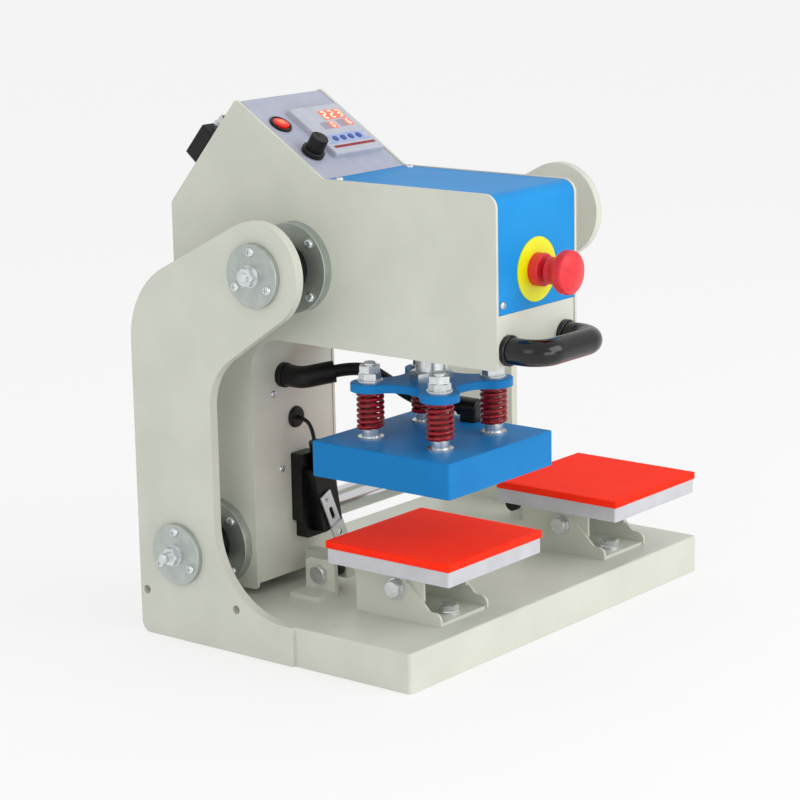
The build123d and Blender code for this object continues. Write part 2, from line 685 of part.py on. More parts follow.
def slant_plane(low, high, inset, x=STATION_X):
    """Plane on a sloped stretch of the skin; its Y axis climbs from the first point to the second."""
    slope = atan2(high[1] - low[1], high[0] - low[0])
    normal = (0, -sin(slope), cos(slope))
    origin = (x, low[0] - normal[1] * inset, low[1] - normal[2] * inset)
    return Plane(origin=origin, x_dir=(1, 0, 0), z_dir=normal)


PANEL = slant_plane((PANEL_LOW_Y, HEAD_TOP_Z), (PEAK_Y, PEAK_Z), SKIN_RECESS)
REAR_SLOPE = slant_plane((PEAK_Y, PEAK_Z), (CHEEK_REAR_Y, SLOPE_LOW_Z), SKIN_RECESS)
CYLINDER_BASE_Z = FLOOR_TOP_Z
STUDS = [
    (STATION_X + sx * STUD_SPACING / 2, PRESS_Y + sy * STUD_SPACING / 2) for sx in (-1, 1) for sy in (-1, 1)
]
COVER_SCREW_X = HEAD_WIDTH / 2 - 10
COLUMN_SCREWS = [(STATION_X - 21.6, 161.9), (STATION_X - 31.0, 240.0), (STATION_X + 43.0, 240.0)]


def cheek(side):
    left = HEAD_LEFT_X if side < 0 else HEAD_RIGHT_X - CHEEK_THICKNESS
    plate = across(head_outline(0), left, left + CHEEK_THICKNESS)
    for y, z in SHAFTS:
        hole = Pos(y, z) * Circle(BEARING_BODY_RADIUS + THREAD_FIT)
        plate -= across(hole, left - 1, left + CHEEK_THICKNESS + 1)
        for u, v in flange_screw_points():
            hole = Pos(y + u, z + v) * Circle(FLANGE_SCREW_SIZE / 2 + THREAD_FIT)
            plate -= across(hole, left - 1, left + CHEEK_THICKNESS + 1)
    return plate


def flange_screw_points():
    reach = FLANGE_SCREW_CIRCLE / sqrt(2)
    return [(su * reach, sv * reach) for su in (-1, 1) for sv in (-1, 1)]


def flanged_bearing(side, y, z):
    x = HEAD_LEFT_X if side < 0 else HEAD_RIGHT_X
    plane = Plane(origin=(x, y, z), x_dir=(0, side, 0), z_dir=(side, 0, 0))
    flange = fillet(cylinder(FLANGE_RADIUS, FLANGE_THICKNESS).edges().sort_by(Axis.Z)[-1], 0.8)
    bearing = flange + Pos(0, 0, -BEARING_BODY_LENGTH) * cylinder(BEARING_BODY_RADIUS, BEARING_BODY_LENGTH)
    bearing -= Pos(0, 0, -BEARING_BODY_LENGTH) * cylinder(SHAFT_RADIUS + SHAFT_FIT, 2 * BEARING_BODY_LENGTH)
    for u, v in flange_screw_points():
        bearing -= Pos(u, v) * cylinder(FLANGE_SCREW_SIZE / 2 + THREAD_FIT, FLANGE_THICKNESS)
    return plane * bearing


def shaft_buffer(side, y, z):
    x = HEAD_LEFT_X - FLANGE_THICKNESS if side < 0 else HEAD_RIGHT_X + FLANGE_THICKNESS
    ring = fillet(cylinder(BUFFER_RADIUS, BUFFER_LENGTH).edges().sort_by(Axis.Z)[-1], 3)
    return facing((x, y, z), (side, 0, 0)) * (ring - cylinder(SHAFT_RADIUS + BUFFER_GAP, BUFFER_LENGTH))


def boot_route():
    """Centre line of the heater cable's boot, in line with the cable's first run."""
    end, after = Vector(*HEATER_CABLE_ROUTE[0]), Vector(*HEATER_CABLE_ROUTE[1])
    corner = end - (after - end).normalized() * BOOT_ARM
    return [Vector(corner.X, COLUMN_SKIN_Y, corner.Z), corner, end]


def column_front():
    part = skin(COLUMN_FRONT_Y - COLUMN_FILLET, COLUMN_FRONT_Y + 6, COLUMN_BOTTOM_Z + 6, HEAD_BOTTOM_Z + 6)
    start = boot_route()[0]
    part -= Pos(start.X, COLUMN_FRONT_Y, start.Z) * Rot(90, 0, 0) * Cylinder(BOOT_RADIUS - 2, 20)
    hole = SWITCH_CABLE_ROUTE[0]
    part -= Pos(hole[0], COLUMN_FRONT_Y, hole[2]) * Rot(90, 0, 0) * Cylinder(GROMMET_RADIUS - 2, 20)
    for x, z in COLUMN_SCREWS:
        part -= Pos(x, COLUMN_FRONT_Y, z) * Rot(90, 0, 0) * Cylinder(COVER_SCREW_SIZE / 2 + THREAD_FIT, 20)
    return part


def head_floor():
    """Bottom skin with the front lip, the tab behind the cover and the air cylinder's thick seat."""
    part = skin(HEAD_FRONT_Y - 1, COLUMN_FRONT_Y - COLUMN_FILLET - SKIN_GAP, HEAD_BOTTOM_Z, COVER_LOW_Z - SKIN_GAP)
    tab_y = FRONT_SKIN_Y + SKIN
    part += block(INNER_LEFT_X, INNER_RIGHT_X, tab_y, tab_y + SKIN, HANDLE_Z, COVER_LOW_Z + COVER_TAB)
    part -= Pos(STATION_X, PRESS_Y, HEAD_BOTTOM_Z) * cylinder(ROD_COLLAR_RADIUS + 3, 20)
    for side in (-1, 1):
        x = STATION_X + side * HANDLE_SPACING / 2
        hole = facing((x, HEAD_FRONT_Y, HANDLE_Z), (0, 1, 0)) * cylinder(HANDLE_SCREW_RADIUS + THREAD_FIT, 20)
        part -= hole
        screw = facing((STATION_X + side * COVER_SCREW_X, HEAD_FRONT_Y, COVER_LOW_Z + COVER_TAB / 2), (0, 1, 0))
        part -= screw * cylinder(COVER_SCREW_SIZE / 2 + THREAD_FIT, 20)
    return part


def top_cover():
    part = skin(HEAD_FRONT_Y - 1, PANEL_LOW_Y - SKIN_GAP, COVER_LOW_Z, HEAD_TOP_Z + 1)
    part -= facing((STATION_X, HEAD_FRONT_Y, ESTOP_Z), (0, 1, 0)) * cylinder(ESTOP_STEM_RADIUS + 6, 20)
    for side in (-1, 1):
        x = STATION_X + side * COVER_SCREW_X
        front = facing((x, HEAD_FRONT_Y, COVER_LOW_Z + COVER_TAB / 2), (0, 1, 0))
        part -= front * cylinder(COVER_SCREW_SIZE / 2 + THREAD_FIT, 6)
        part -= Pos(x, PANEL_LOW_Y - COVER_TAB * 0.7, HEAD_TOP_Z - 6) * cylinder(COVER_SCREW_SIZE / 2 + THREAD_FIT, 10)
    return part


def control_panel():
    """Sloped plate with a flange that reaches under the top cover."""
    part = skin(PANEL_LOW_Y, PEAK_Y - SKIN_GAP, HEAD_TOP_Z - 10, PEAK_Z + 1)
    under = HEAD_TOP_Z - SKIN_RECESS - SKIN
    part += block(INNER_LEFT_X, INNER_RIGHT_X, PANEL_LOW_Y - COVER_TAB, PANEL_LOW_Y + SKIN, under - SKIN, under)
    part += block(INNER_LEFT_X, INNER_RIGHT_X, PANEL_LOW_Y, PANEL_LOW_Y + SKIN, under - SKIN, under + SKIN / 2)
    for side in (-1, 1):
        x = STATION_X + side * COVER_SCREW_X
        part -= Pos(x, PANEL_LOW_Y - COVER_TAB * 0.7, under - 6) * cylinder(COVER_SCREW_SIZE / 2 + THREAD_FIT, 10)
    holes = Pos(*DISPLAY_AT) * Box(DISPLAY_SIZE - 6, DISPLAY_SIZE - 6, 20)
    holes += Pos(*SWITCH_AT) * Cylinder(SWITCH_BODY_RADIUS + THREAD_FIT, 20)
    holes += Pos(*KNOB_AT) * Cylinder(POT_SHAFT_RADIUS + 1.5 + THREAD_FIT, 20)
    return part - PANEL * holes


def rear_cover():
    """Bent plate from the peak down the slope and the column's back."""
    part = skin(PEAK_Y, CHEEK_REAR_Y + 1, COLUMN_BOTTOM_Z + 6, PEAK_Z + 1)
    gland = facing((STATION_X + GLAND_X, CHEEK_REAR_Y + 1, GLAND_Z), (0, -1, 0))
    part -= gland * cylinder(GLAND_RADIUS - 1.5, 20)
    slot = Pos(VALVE_X, VALVE_START + VALVE_SIZE[1] / 2) * Cylinder(6, 20)
    return part - REAR_SLOPE * slot


def carriage_screws():
    parts = []
    for side in (-1, 1):
        for y, z in SHAFTS:
            x = HEAD_LEFT_X - FLANGE_THICKNESS if side < 0 else HEAD_RIGHT_X + FLANGE_THICKNESS
            for u, v in flange_screw_points():
                plane = facing((x, y + u, z + v), (side, 0, 0))
                parts.append(plane * pan_screw(FLANGE_SCREW_SIZE, FLANGE_THICKNESS + CHEEK_THICKNESS + 3))
        x = STATION_X + side * COVER_SCREW_X
        front = facing((x, FRONT_SKIN_Y, COVER_LOW_Z + COVER_TAB / 2), (0, -1, 0))
        parts.append(front * pan_screw(COVER_SCREW_SIZE, 3 * SKIN))
        top = Pos(x, PANEL_LOW_Y - COVER_TAB * 0.7, HEAD_TOP_Z - SKIN_RECESS)
        parts.append(top * pan_screw(COVER_SCREW_SIZE, 3 * SKIN))
        x = STATION_X + side * HANDLE_SPACING / 2
        inside = facing((x, FRONT_SKIN_Y + 2 * SKIN, HANDLE_Z), (0, 1, 0))
        parts.append(inside * hex_bolt(2 * HANDLE_SCREW_RADIUS, 2 * SKIN + HANDLE_REACH / 2))
    for x, z in COLUMN_SCREWS:
        parts.append(facing((x, COLUMN_SKIN_Y, z), (0, -1, 0)) * pan_screw(COVER_SCREW_SIZE, 3 * SKIN))
    return parts


def push_handle():
    """Bent bar on two feet."""
    x0, x1 = STATION_X - HANDLE_SPACING / 2, STATION_X + HANDLE_SPACING / 2
    bar_y = FRONT_SKIN_Y - HANDLE_REACH
    path = FilletPolyline(
        (x0, FRONT_SKIN_Y, HANDLE_Z),
        (x0, bar_y, HANDLE_Z),
        (x1, bar_y, HANDLE_Z),
        (x1, FRONT_SKIN_Y, HANDLE_Z),
        radius=HANDLE_BEND,
    )
    bar = tube(path, HANDLE_RADIUS)
    for x in (x0, x1):
        foot = cylinder(HANDLE_FOOT_RADIUS, HANDLE_FOOT)
        foot = fillet(foot.edges().sort_by(Axis.Z)[-1], 1.5)
        bar += facing((x, FRONT_SKIN_Y, HANDLE_Z), (0, -1, 0)) * foot
    for x in (x0, x1):
        hole = facing((x, FRONT_SKIN_Y, HANDLE_Z), (0, -1, 0))
        bar -= hole * cylinder(HANDLE_SCREW_RADIUS + THREAD_FIT, HANDLE_REACH / 2 + 1)
    return bar


FRONT = facing((STATION_X, FRONT_SKIN_Y, ESTOP_Z), (0, -1, 0))


def estop_label():
    disc = cylinder(ESTOP_LABEL_RADIUS, ESTOP_LABEL_THICKNESS)
    return FRONT * (disc - cylinder(ESTOP_STEM_RADIUS + 6, ESTOP_LABEL_THICKNESS))


def estop_body():
    """Collar in front of the cover, threaded bush through it and contact block behind."""
    bush = ESTOP_STEM_RADIUS + 6 - THREAD_FIT
    body = Pos(0, 0, ESTOP_LABEL_THICKNESS) * cylinder(ESTOP_COLLAR_RADIUS, ESTOP_COLLAR_HEIGHT)
    body = fillet(body.edges().sort_by(Axis.Z)[-1], 2)
    body += Pos(0, 0, -SKIN) * cylinder(bush, SKIN + ESTOP_LABEL_THICKNESS)
    half = ESTOP_BODY_SIDE / 2
    body += block(-half, half, -half, half, -SKIN - ESTOP_BODY_DEPTH, -SKIN)
    travel = ESTOP_TRAVEL + ESTOP_FIT
    body -= Pos(0, 0, -SKIN - 2 * travel) * cylinder(ESTOP_STEM_RADIUS + ESTOP_FIT, 60)
    return FRONT * body


def estop_stem():
    low = -SKIN - ESTOP_TRAVEL
    return FRONT * Pos(0, 0, low) * cylinder(ESTOP_STEM_RADIUS, ESTOP_HEAD_END - ESTOP_ROOF - low)


def estop_mushroom():
    """Waisted button with a wide domed head, turned about the stem."""
    rim, low, high = ESTOP_HEAD_RADIUS, ESTOP_HEAD_START, ESTOP_HEAD_END
    bore = ESTOP_STEM_RADIUS + THREAD_FIT
    neck = rim * ESTOP_NECK
    shelf = high - ESTOP_RIM
    dome_edge = rim - ESTOP_ROUND
    dome_drop = ESTOP_ROUND
    dome = (dome_edge ** 2 + dome_drop ** 2) / (2 * dome_drop)
    half = atan2(dome_edge, dome - dome_drop) / 2
    roof = high - ESTOP_ROOF
    skin_line = Polyline((0, roof), (bore, roof), (bore, low), (neck, low), (neck, low + 5), (rim, shelf))
    edges = skin_line.edges()
    turn = (rim, high - 2 * dome_drop)
    edges.append(Line((rim, shelf), turn).edge())
    middle = (rim - dome_drop * (1 - cos(pi / 4)), turn[1] + dome_drop * sin(pi / 4))
    edges.append(ThreePointArc(turn, middle, (dome_edge, high - dome_drop)).edge())
    crown = (dome * sin(half), high - dome + dome * cos(half))
    edges.append(ThreePointArc((dome_edge, high - dome_drop), crown, (0, high)).edge())
    edges.append(Line((0, high), (0, roof)).edge())
    return FRONT * revolve(Plane.XZ * make_face(Wire(edges)), Axis.Z)


def controller_case():
    """Temperature controller: raised face with four key wells, body behind the panel."""
    face = Pos(0, 0, DISPLAY_RAISE / 2) * Box(DISPLAY_SIZE, DISPLAY_SIZE, DISPLAY_RAISE)
    face = fillet(face.edges().filter_by(Axis.Z), DISPLAY_CORNER)
    face = chamfer(face.faces().sort_by(Axis.Z)[-1].edges(), 1.0)
    inner = DISPLAY_SIZE - 7
    face += Pos(0, 0, -DISPLAY_DEPTH / 2) * Box(inner, inner, DISPLAY_DEPTH)
    for x in key_places():
        face -= Pos(x, KEY_OFFSET, DISPLAY_RAISE - KEY_DEPTH) * cylinder(KEY_RADIUS + KEY_GAP, KEY_DEPTH)
    return PANEL * Pos(*DISPLAY_AT) * face


def key_places():
    return [(i - 1.5) * KEY_PITCH for i in range(4)]


def key(index):
    height = KEY_DEPTH - KEY_TRAVEL - KEY_GAP + KEY_RAISE
    cap = cylinder(KEY_RADIUS, height)
    cap = fillet(cap.edges().sort_by(Axis.Z)[-1], 0.4)
    place = Pos(key_places()[index], KEY_OFFSET, DISPLAY_RAISE + KEY_RAISE - height)
    return PANEL * Pos(*DISPLAY_AT) * place * cap


def power_switch_body():
    body = fillet(cylinder(SWITCH_BEZEL_RADIUS, SWITCH_BEZEL_HEIGHT).edges().sort_by(Axis.Z)[-1], 1.0)
    body += Pos(0, 0, -SWITCH_BODY_DEPTH) * cylinder(SWITCH_BODY_RADIUS, SWITCH_BODY_DEPTH)
    body -= Pos(0, 0, -6) * cylinder(SWITCH_WELL_RADIUS, 20)
    pin = Rot(0, 90, 0) * Cylinder(SWITCH_PIN_RADIUS + THREAD_FIT, 2 * SWITCH_WELL_RADIUS + 1.2)
    return PANEL * Pos(*SWITCH_AT) * (body - pin)


def power_rocker():
    """Round rocker at its switched-on tilt, on a cross pin."""
    disc = Pos(0, 0, -2.5) * cylinder(ROCKER_RADIUS, 6.5)
    ball = Pos(0, 0, -20.5) * Sphere(25)
    disc = disc & ball
    disc += Rot(0, 90, 0) * Cylinder(SWITCH_PIN_RADIUS, 2 * SWITCH_WELL_RADIUS + 0.8)
    return PANEL * Pos(*SWITCH_AT) * Rot(-ROCKER_TILT, 0, 0) * disc


def timer_body():
    """Potentiometer with its bush, nut and spindle."""
    body = Pos(0, 0, -SKIN - POT_DEPTH) * cylinder(POT_RADIUS, POT_DEPTH)
    body += Pos(0, 0, -SKIN) * cylinder(POT_SHAFT_RADIUS + 1.5, SKIN + 3)
    body += hexagon(4 * POT_SHAFT_RADIUS, 2)
    body += cylinder(POT_SHAFT_RADIUS, KNOB_HEIGHT - 5)
    return PANEL * Pos(*KNOB_AT) * body


def timer_knob():
    """Fluted grip on a skirt, hollow round the nut, with a pointer notch."""
    knob = fillet(cylinder(KNOB_SKIRT_RADIUS, KNOB_SKIRT_HEIGHT).edges().sort_by(Axis.Z)[-1], 1.5)
    grip = Pos(0, 0, KNOB_SKIRT_HEIGHT) * cylinder(KNOB_GRIP_RADIUS, KNOB_HEIGHT - KNOB_SKIRT_HEIGHT - KNOB_LIFT)
    grip = fillet(grip.edges().sort_by(Axis.Z)[-1], 1.0)
    for i in range(KNOB_FLUTES):
        angle = 2 * pi * (i + 0.5) / KNOB_FLUTES
        reach = KNOB_GRIP_RADIUS + 0.4
        grip -= Pos(reach * cos(angle), reach * sin(angle), KNOB_SKIRT_HEIGHT + 1) * cylinder(1.0, KNOB_HEIGHT)
    knob += grip
    knob -= cylinder(POT_SHAFT_RADIUS * 2 + 2, 4)
    knob -= cylinder(POT_SHAFT_RADIUS + THREAD_FIT, KNOB_HEIGHT - 4)
    knob -= Pos(0, KNOB_GRIP_RADIUS / 2, KNOB_HEIGHT - KNOB_LIFT) * Box(1.2, KNOB_GRIP_RADIUS, 1.2)
    return PANEL * Pos(*KNOB_AT) * Pos(0, 0, KNOB_LIFT) * knob


def air_cylinder():
    """Base cap, barrel and top cap, stacked on the head's floor."""
    half = CYLINDER_SIDE / 2
    z0 = CYLINDER_BASE_Z
    z1 = z0 + CYLINDER_CAP
    z2 = z1 + BARREL_HEIGHT
    outline = [STATION_X - half, STATION_X + half, PRESS_Y - half, PRESS_Y + half]
    base = block(*outline, z0, z1) - Pos(STATION_X, PRESS_Y, z0) * cylinder(ROD_RADIUS + PISTON_FIT, CYLINDER_CAP)
    barrel = block(*outline, z1, z2)
    barrel = fillet(barrel.edges().filter_by(Axis.Z), 4)
    barrel -= Pos(STATION_X, PRESS_Y, z1) * cylinder(CYLINDER_BORE_RADIUS, BARREL_HEIGHT)
    cap = block(*outline, z2, z2 + CYLINDER_CAP)
    return [base, barrel, cap]


def valve_block():
    """Mounting plate on the slope, stem through it and the valve that stands off it."""
    width, length = VALVE_PLATE
    middle = VALVE_PLATE_START + length / 2
    plate = Pos(VALVE_X, middle, VALVE_PLATE_THICKNESS / 2) * Box(width, length, VALVE_PLATE_THICKNESS)
    size_x, size_y, size_z = VALVE_SIZE
    centre = VALVE_START + size_y / 2
    valve = Pos(VALVE_X, centre, VALVE_STANDOFF + size_z / 2) * Box(size_x, size_y, size_z)
    valve = fillet(valve.edges().filter_by(Axis.Z), 2)
    stem = Pos(VALVE_X, centre, -8) * cylinder(5, VALVE_STANDOFF + 8)
    port = Pos(VALVE_X, VALVE_START, VALVE_STANDOFF + size_z / 2) * Rot(-90, 0, 0) * cylinder(FITTING_RADIUS - 2, 9)
    return REAR_SLOPE * (plate + stem + valve - port)


def air_fitting():
    """Push-in fitting on the valve's upper end; its bore takes the air tube."""
    body = Pos(0, 0, -FITTING_SPIGOT) * cylinder(FITTING_RADIUS - 2.05, FITTING_SPIGOT)
    body += hexagon(2 * FITTING_RADIUS, 5)
    body += Pos(0, 0, 5) * cylinder(FITTING_RADIUS - 0.5, FITTING_LENGTH - 5)
    body = fillet(body.edges().sort_by(Axis.Z)[-1], 1.0)
    body -= Pos(0, 0, -FITTING_SPIGOT) * cylinder(AIR_TUBE_RADIUS, FITTING_LENGTH + FITTING_SPIGOT)
    place = Pos(VALVE_X, VALVE_START, VALVE_STANDOFF + VALVE_SIZE[2] / 2) * Rot(90, 0, 0)
    return REAR_SLOPE * place * body


def mains_gland():
    """Cable gland through the back, with its bore open for the mains lead."""
    gland = hexagon(GLAND_NUT_SIZE, 6) + Pos(0, 0, 6) * fillet(
        cylinder(GLAND_RADIUS, 12).edges().sort_by(Axis.Z)[-1], 3
    )
    gland += Pos(0, 0, -12) * cylinder(GLAND_RADIUS - 1.6, 12)
    gland += Pos(0, 0, -SKIN - 5) * hexagon(GLAND_NUT_SIZE, 5)
    gland -= Pos(0, 0, -12) * cylinder(GLAND_BORE_RADIUS, 40)
    return facing((STATION_X + GLAND_X, REAR_SKIN_Y, GLAND_Z), (0, 1, 0)) * gland


def cable_grommets():
    """Angled boot where the heater cable leaves the column and grommet of the switch lead."""
    start, corner, end = boot_route()
    boot = tube(FilletPolyline(start, corner, end, radius=BOOT_BEND), BOOT_RADIUS)
    flange = cylinder(BOOT_RADIUS + BOOT_FLANGE, 6)
    boot += facing(start, (0, -1, 0)) * fillet(flange.edges().sort_by(Axis.Z)[-1], BOOT_FLANGE * 0.8)
    boot += facing(start, (0, 1, 0)) * cylinder(BOOT_RADIUS - 2.2, 8)
    hole = SWITCH_CABLE_ROUTE[0]
    seat = (hole[0], COLUMN_SKIN_Y, hole[2])
    rim = cylinder(GROMMET_RADIUS, GROMMET_THICKNESS)
    grommet = facing(seat, (0, -1, 0)) * fillet(rim.edges().sort_by(Axis.Z)[-1], GROMMET_THICKNESS * 0.8)
    grommet += facing(seat, (0, 1, 0)) * cylinder(GROMMET_RADIUS - 2.2, 6)
    return [boot, grommet - beyond(SWITCH_CABLE_ROUTE[0], SWITCH_CABLE_ROUTE[1])]


def beyond(end, inside):
    """Round stock past a cord's end on the cord's own side, which trims a seat square to the cord."""
    end, inside = Vector(*end), Vector(*inside)
    return Plane(origin=end, z_dir=inside - end) * cylinder(30, 30)


def limit_tilted(shape):
    """Turns a shape about the position switch's own centre, in its plane."""
    x, z = LIMIT_BODY_CENTRE
    return Pos(x, COLUMN_SKIN_Y - LIMIT_MOUNT[1], z) * Rot(0, -LIMIT_TILT, 0) * shape


def switch_body():
    """Flat mount on the column with a toe, and the tilted switch with its boot in front."""
    width, depth, height = LIMIT_MOUNT
    x, z = LIMIT_MOUNT_CENTRE
    y = COLUMN_SKIN_Y - depth / 2
    shift, drop = LIMIT_TOE
    mount = Pos(x, y, z) * Box(width, depth, height)
    mount += Pos(x + shift, y, z - height / 2 - drop / 2 + 1) * Box(width, depth, drop + 2)
    mount = fillet(mount.edges().filter_by(Axis.Y), 2)
    body_w, body_d, body_h = LIMIT_BODY
    body = Pos(0, -body_d / 2, 0) * Box(body_w, body_d, body_h)
    body = fillet(body.edges().filter_by(Axis.Y), 2)
    cap = Pos(0, -body_d / 2, body_h / 2) * cylinder(LIMIT_BOOT_RADIUS, LIMIT_BOOT_HEIGHT)
    switch = limit_tilted(body + cap)
    switch -= lever_frame() * Pos(0, 0, -8) * cylinder(LEVER_PIN_RADIUS + THREAD_FIT, 20)
    return [mount, switch - beyond(SWITCH_CABLE_ROUTE[-1], SWITCH_CABLE_ROUTE[-2])]


def lever_frame():
    """Plane on the switch's front face at the lever's pin; Z points forward, Y down the lever."""
    x, z = LIMIT_BODY_CENTRE
    origin = (x + LEVER_PIN_AT[0], COLUMN_SKIN_Y - LIMIT_MOUNT[1] - LIMIT_BODY[1], z + LEVER_PIN_AT[1])
    lean = radians(LEVER_LEAN)
    return Plane(origin=origin, x_dir=(-cos(lean), 0, -sin(lean)), z_dir=(0, -1, 0))


def switch_lever():
    """Stepped bright lever with a slot and a roller pad, on its pin."""
    long = LEVER_LENGTH * 0.6
    first = Pos(0, long / 2 - 5, 1 + LEVER_THICKNESS / 2) * Box(LEVER_WIDTH, long + 6, LEVER_THICKNESS)
    first -= Pos(0, long / 2, 1) * extrude(SlotOverall(14, 5, rotation=90), LEVER_THICKNESS)
    second = Pos(0, long + 8, 1 + LEVER_THICKNESS * 1.5) * Box(LEVER_WIDTH + 3, LEVER_LENGTH - long, LEVER_THICKNESS)
    second -= Pos(0, long + 8, 1 + LEVER_THICKNESS) * cylinder(3, LEVER_THICKNESS)
    pin = Pos(0, 0, -7) * cylinder(LEVER_PIN_RADIUS, 7 + 1 + 2 * LEVER_THICKNESS)
    return lever_frame() * (first + second + pin)


def stop_block():
    """Foot under the column's front that reaches out between the stops."""
    x0 = STOP_BLOCK_X0
    z0 = STOP_Z - STOP_BLOCK_HEIGHT / 2
    arm = block(x0, x0 + STOP_BLOCK_WIDTH, STOP_Y - 10, COLUMN_SKIN_Y, z0, z0 + STOP_BLOCK_HEIGHT)
    return fillet(arm.edges().filter_by(Axis.Z).group_by(Axis.Y)[0], 3)


nodes["cheek_left"] = [cheek(-1)]
nodes["cheek_right"] = [cheek(1)]
nodes["column_front"] = [column_front()]
nodes["rear_cover"] = [rear_cover()]
nodes["head_floor"] = [head_floor()]
nodes["top_cover"] = [top_cover()]
nodes["control_panel"] = [control_panel()]
nodes["carriage_screws"] = carriage_screws()
nodes["upper_bearings"] = [flanged_bearing(side, *SHAFTS[0]) for side in (-1, 1)]
nodes["lower_bearings"] = [flanged_bearing(side, *SHAFTS[1]) for side in (-1, 1)]
nodes["shaft_buffers"] = [shaft_buffer(side, *place) for side in (-1, 1) for place in SHAFTS]
nodes["push_handle"] = [push_handle()]
nodes["estop_label"] = [estop_label()]
nodes["estop_body"] = [estop_body()]
nodes["estop_stem"] = [estop_stem()]
nodes["estop_mushroom"] = [estop_mushroom()]
nodes["controller_case"] = [controller_case()]
for index in range(4):
    nodes[f"key_{index + 1}"] = [key(index)]
nodes["power_switch_body"] = [power_switch_body()]
nodes["power_rocker"] = [power_rocker()]
nodes["timer_body"] = [timer_body()]
nodes["timer_knob"] = [timer_knob()]
nodes["air_cylinder"] = air_cylinder()
nodes["valve_block"] = [valve_block()]
nodes["air_fitting"] = [air_fitting()]
nodes["mains_gland"] = [mains_gland()]
nodes["cable_grommets"] = cable_grommets()
nodes["heater_cable"] = [cord_path("heater_cable", HEATER_CABLE_ROUTE, HEATER_CABLE_RADIUS)]
nodes["switch_body"] = switch_body()
nodes["switch_lever"] = [switch_lever()]
nodes["switch_cable"] = [cord_path("switch_cable", SWITCH_CABLE_ROUTE, SWITCH_CABLE_RADIUS)]
nodes["stop_block"] = [stop_block()]


# Heat block, hung from the spider on four studs

def heater_cover():
    half = HEATER_SIZE / 2
    cover = block(
        STATION_X - half, STATION_X + half, PRESS_Y - half, PRESS_Y + half, HEATER_BOTTOM_Z, HEATER_TOP_Z
    )
    cover = fillet(cover.edges().filter_by(Axis.Z), 2.5)
    cover = fillet(cover.faces().sort_by(Axis.Z)[-1].edges(), 1.2)
    inner = half - HEATER_SHEET
    cover -= block(
        STATION_X - inner, STATION_X + inner, PRESS_Y - inner, PRESS_Y + inner,
        HEATER_BOTTOM_Z - 1, HEATER_TOP_Z - HEATER_SHEET,
    )
    for x, y in STUDS:
        cover -= Pos(x, y, HEATER_TOP_Z - 5) * cylinder(STUD_RADIUS + THREAD_FIT, 10)
    return cover


def inner_slab(z0, z1):
    """Slab inside the cover with the four studs' holes."""
    side = HEATER_SIZE - 2 * HEATER_SHEET - 0.4
    slab = square_slab(STATION_X, side, z0, z1, 1.0)
    for x, y in STUDS:
        slab -= Pos(x, y, max(z0, HEATER_BOTTOM_Z + 5)) * cylinder(STUD_RADIUS + THREAD_FIT, 40)
    return slab


def stud_parts():
    """Studs with their lower nuts and washers."""
    parts = []
    size = 2 * STUD_RADIUS
    thick = size * WASHER_THICKNESS
    for x, y in STUDS:
        foot = HEATER_BOTTOM_Z + 5
        stud = cylinder(STUD_RADIUS, STUD_TOP_Z - foot)
        parts.append(Pos(x, y, foot) * chamfer(stud.edges().sort_by(Axis.Z)[-1], 1.2))
        parts.append(Pos(x, y, HEATER_TOP_Z) * washer(size, STUD_RADIUS + THREAD_FIT))
        room = SPRING_BOTTOM_Z - HEATER_TOP_Z - thick
        spacer = cylinder(size * 0.75, room) - cylinder(STUD_RADIUS + THREAD_FIT, room)
        parts.append(Pos(x, y, HEATER_TOP_Z + thick) * spacer)
    return parts


def stud_nuts():
    """Washer and two nuts above each ear of the spider."""
    parts = []
    size = 2 * STUD_RADIUS
    thick = size * WASHER_THICKNESS
    nut_height = size * NUT_HEIGHT * 0.75
    for x, y in STUDS:
        parts.append(Pos(x, y, SPIDER_TOP_Z) * washer(size, STUD_RADIUS + THREAD_FIT))
        nut = hexagon(size * HEX_FLATS * 0.93, nut_height - 0.4) - cylinder(STUD_RADIUS + THREAD_FIT, nut_height)
        for level in range(2):
            turned = Rot(0, 0, 25 * level + 10) * nut
            parts.append(Pos(x, y, SPIDER_TOP_Z + thick + level * nut_height) * turned)
    return parts


SPRING_MEAN_RADIUS = SPRING_RADIUS - SPRING_WIRE_RADIUS
SPRING_RISE = SPRING_HEIGHT - 2 * SPRING_WIRE_RADIUS - 2 * SPRING_SEAT_GAP
print("spring gap", round(coil_gap(SPRING_MEAN_RADIUS, SPRING_RISE, SPRING_TURNS, SPRING_WIRE_RADIUS), 2))


def spring(x, y):
    wire = helix_wire(SPRING_MEAN_RADIUS, SPRING_RISE, SPRING_TURNS)
    start = Plane(origin=wire @ 0, z_dir=wire % 0)
    coil = sweep(start * Circle(SPRING_WIRE_RADIUS), path=wire)
    return Pos(x, y, SPRING_BOTTOM_Z + SPRING_SEAT_GAP + SPRING_WIRE_RADIUS) * coil


def heater_elbow():
    """Right-angled plug on the heat block: a foot, a barrel and the collar that grips the cable."""
    end = HEATER_CABLE_ROUTE[-1]
    foot = Pos(end[0], ELBOW_CENTRE_Y, HEATER_TOP_Z) * fillet(
        Box(2 * ELBOW_RADIUS, 2 * ELBOW_RADIUS, ELBOW_FOOT, align=(Align.CENTER, Align.CENTER, Align.MIN))
        .edges().filter_by(Axis.Z), 3
    )
    height = end[2] - HEATER_TOP_Z
    barrel = facing((end[0], ELBOW_CENTRE_Y - ELBOW_RADIUS, end[2]), (0, 1, 0)) * cylinder(
        ELBOW_RADIUS, end[1] - ELBOW_CENTRE_Y + ELBOW_RADIUS
    )
    barrel = fillet(barrel.edges().group_by(Axis.Y)[0], 4)
    riser = Pos(end[0], ELBOW_CENTRE_Y, HEATER_TOP_Z) * cylinder(ELBOW_RADIUS, height)
    return foot + riser + barrel


# Ram: piston, rod, collar, nut and spider

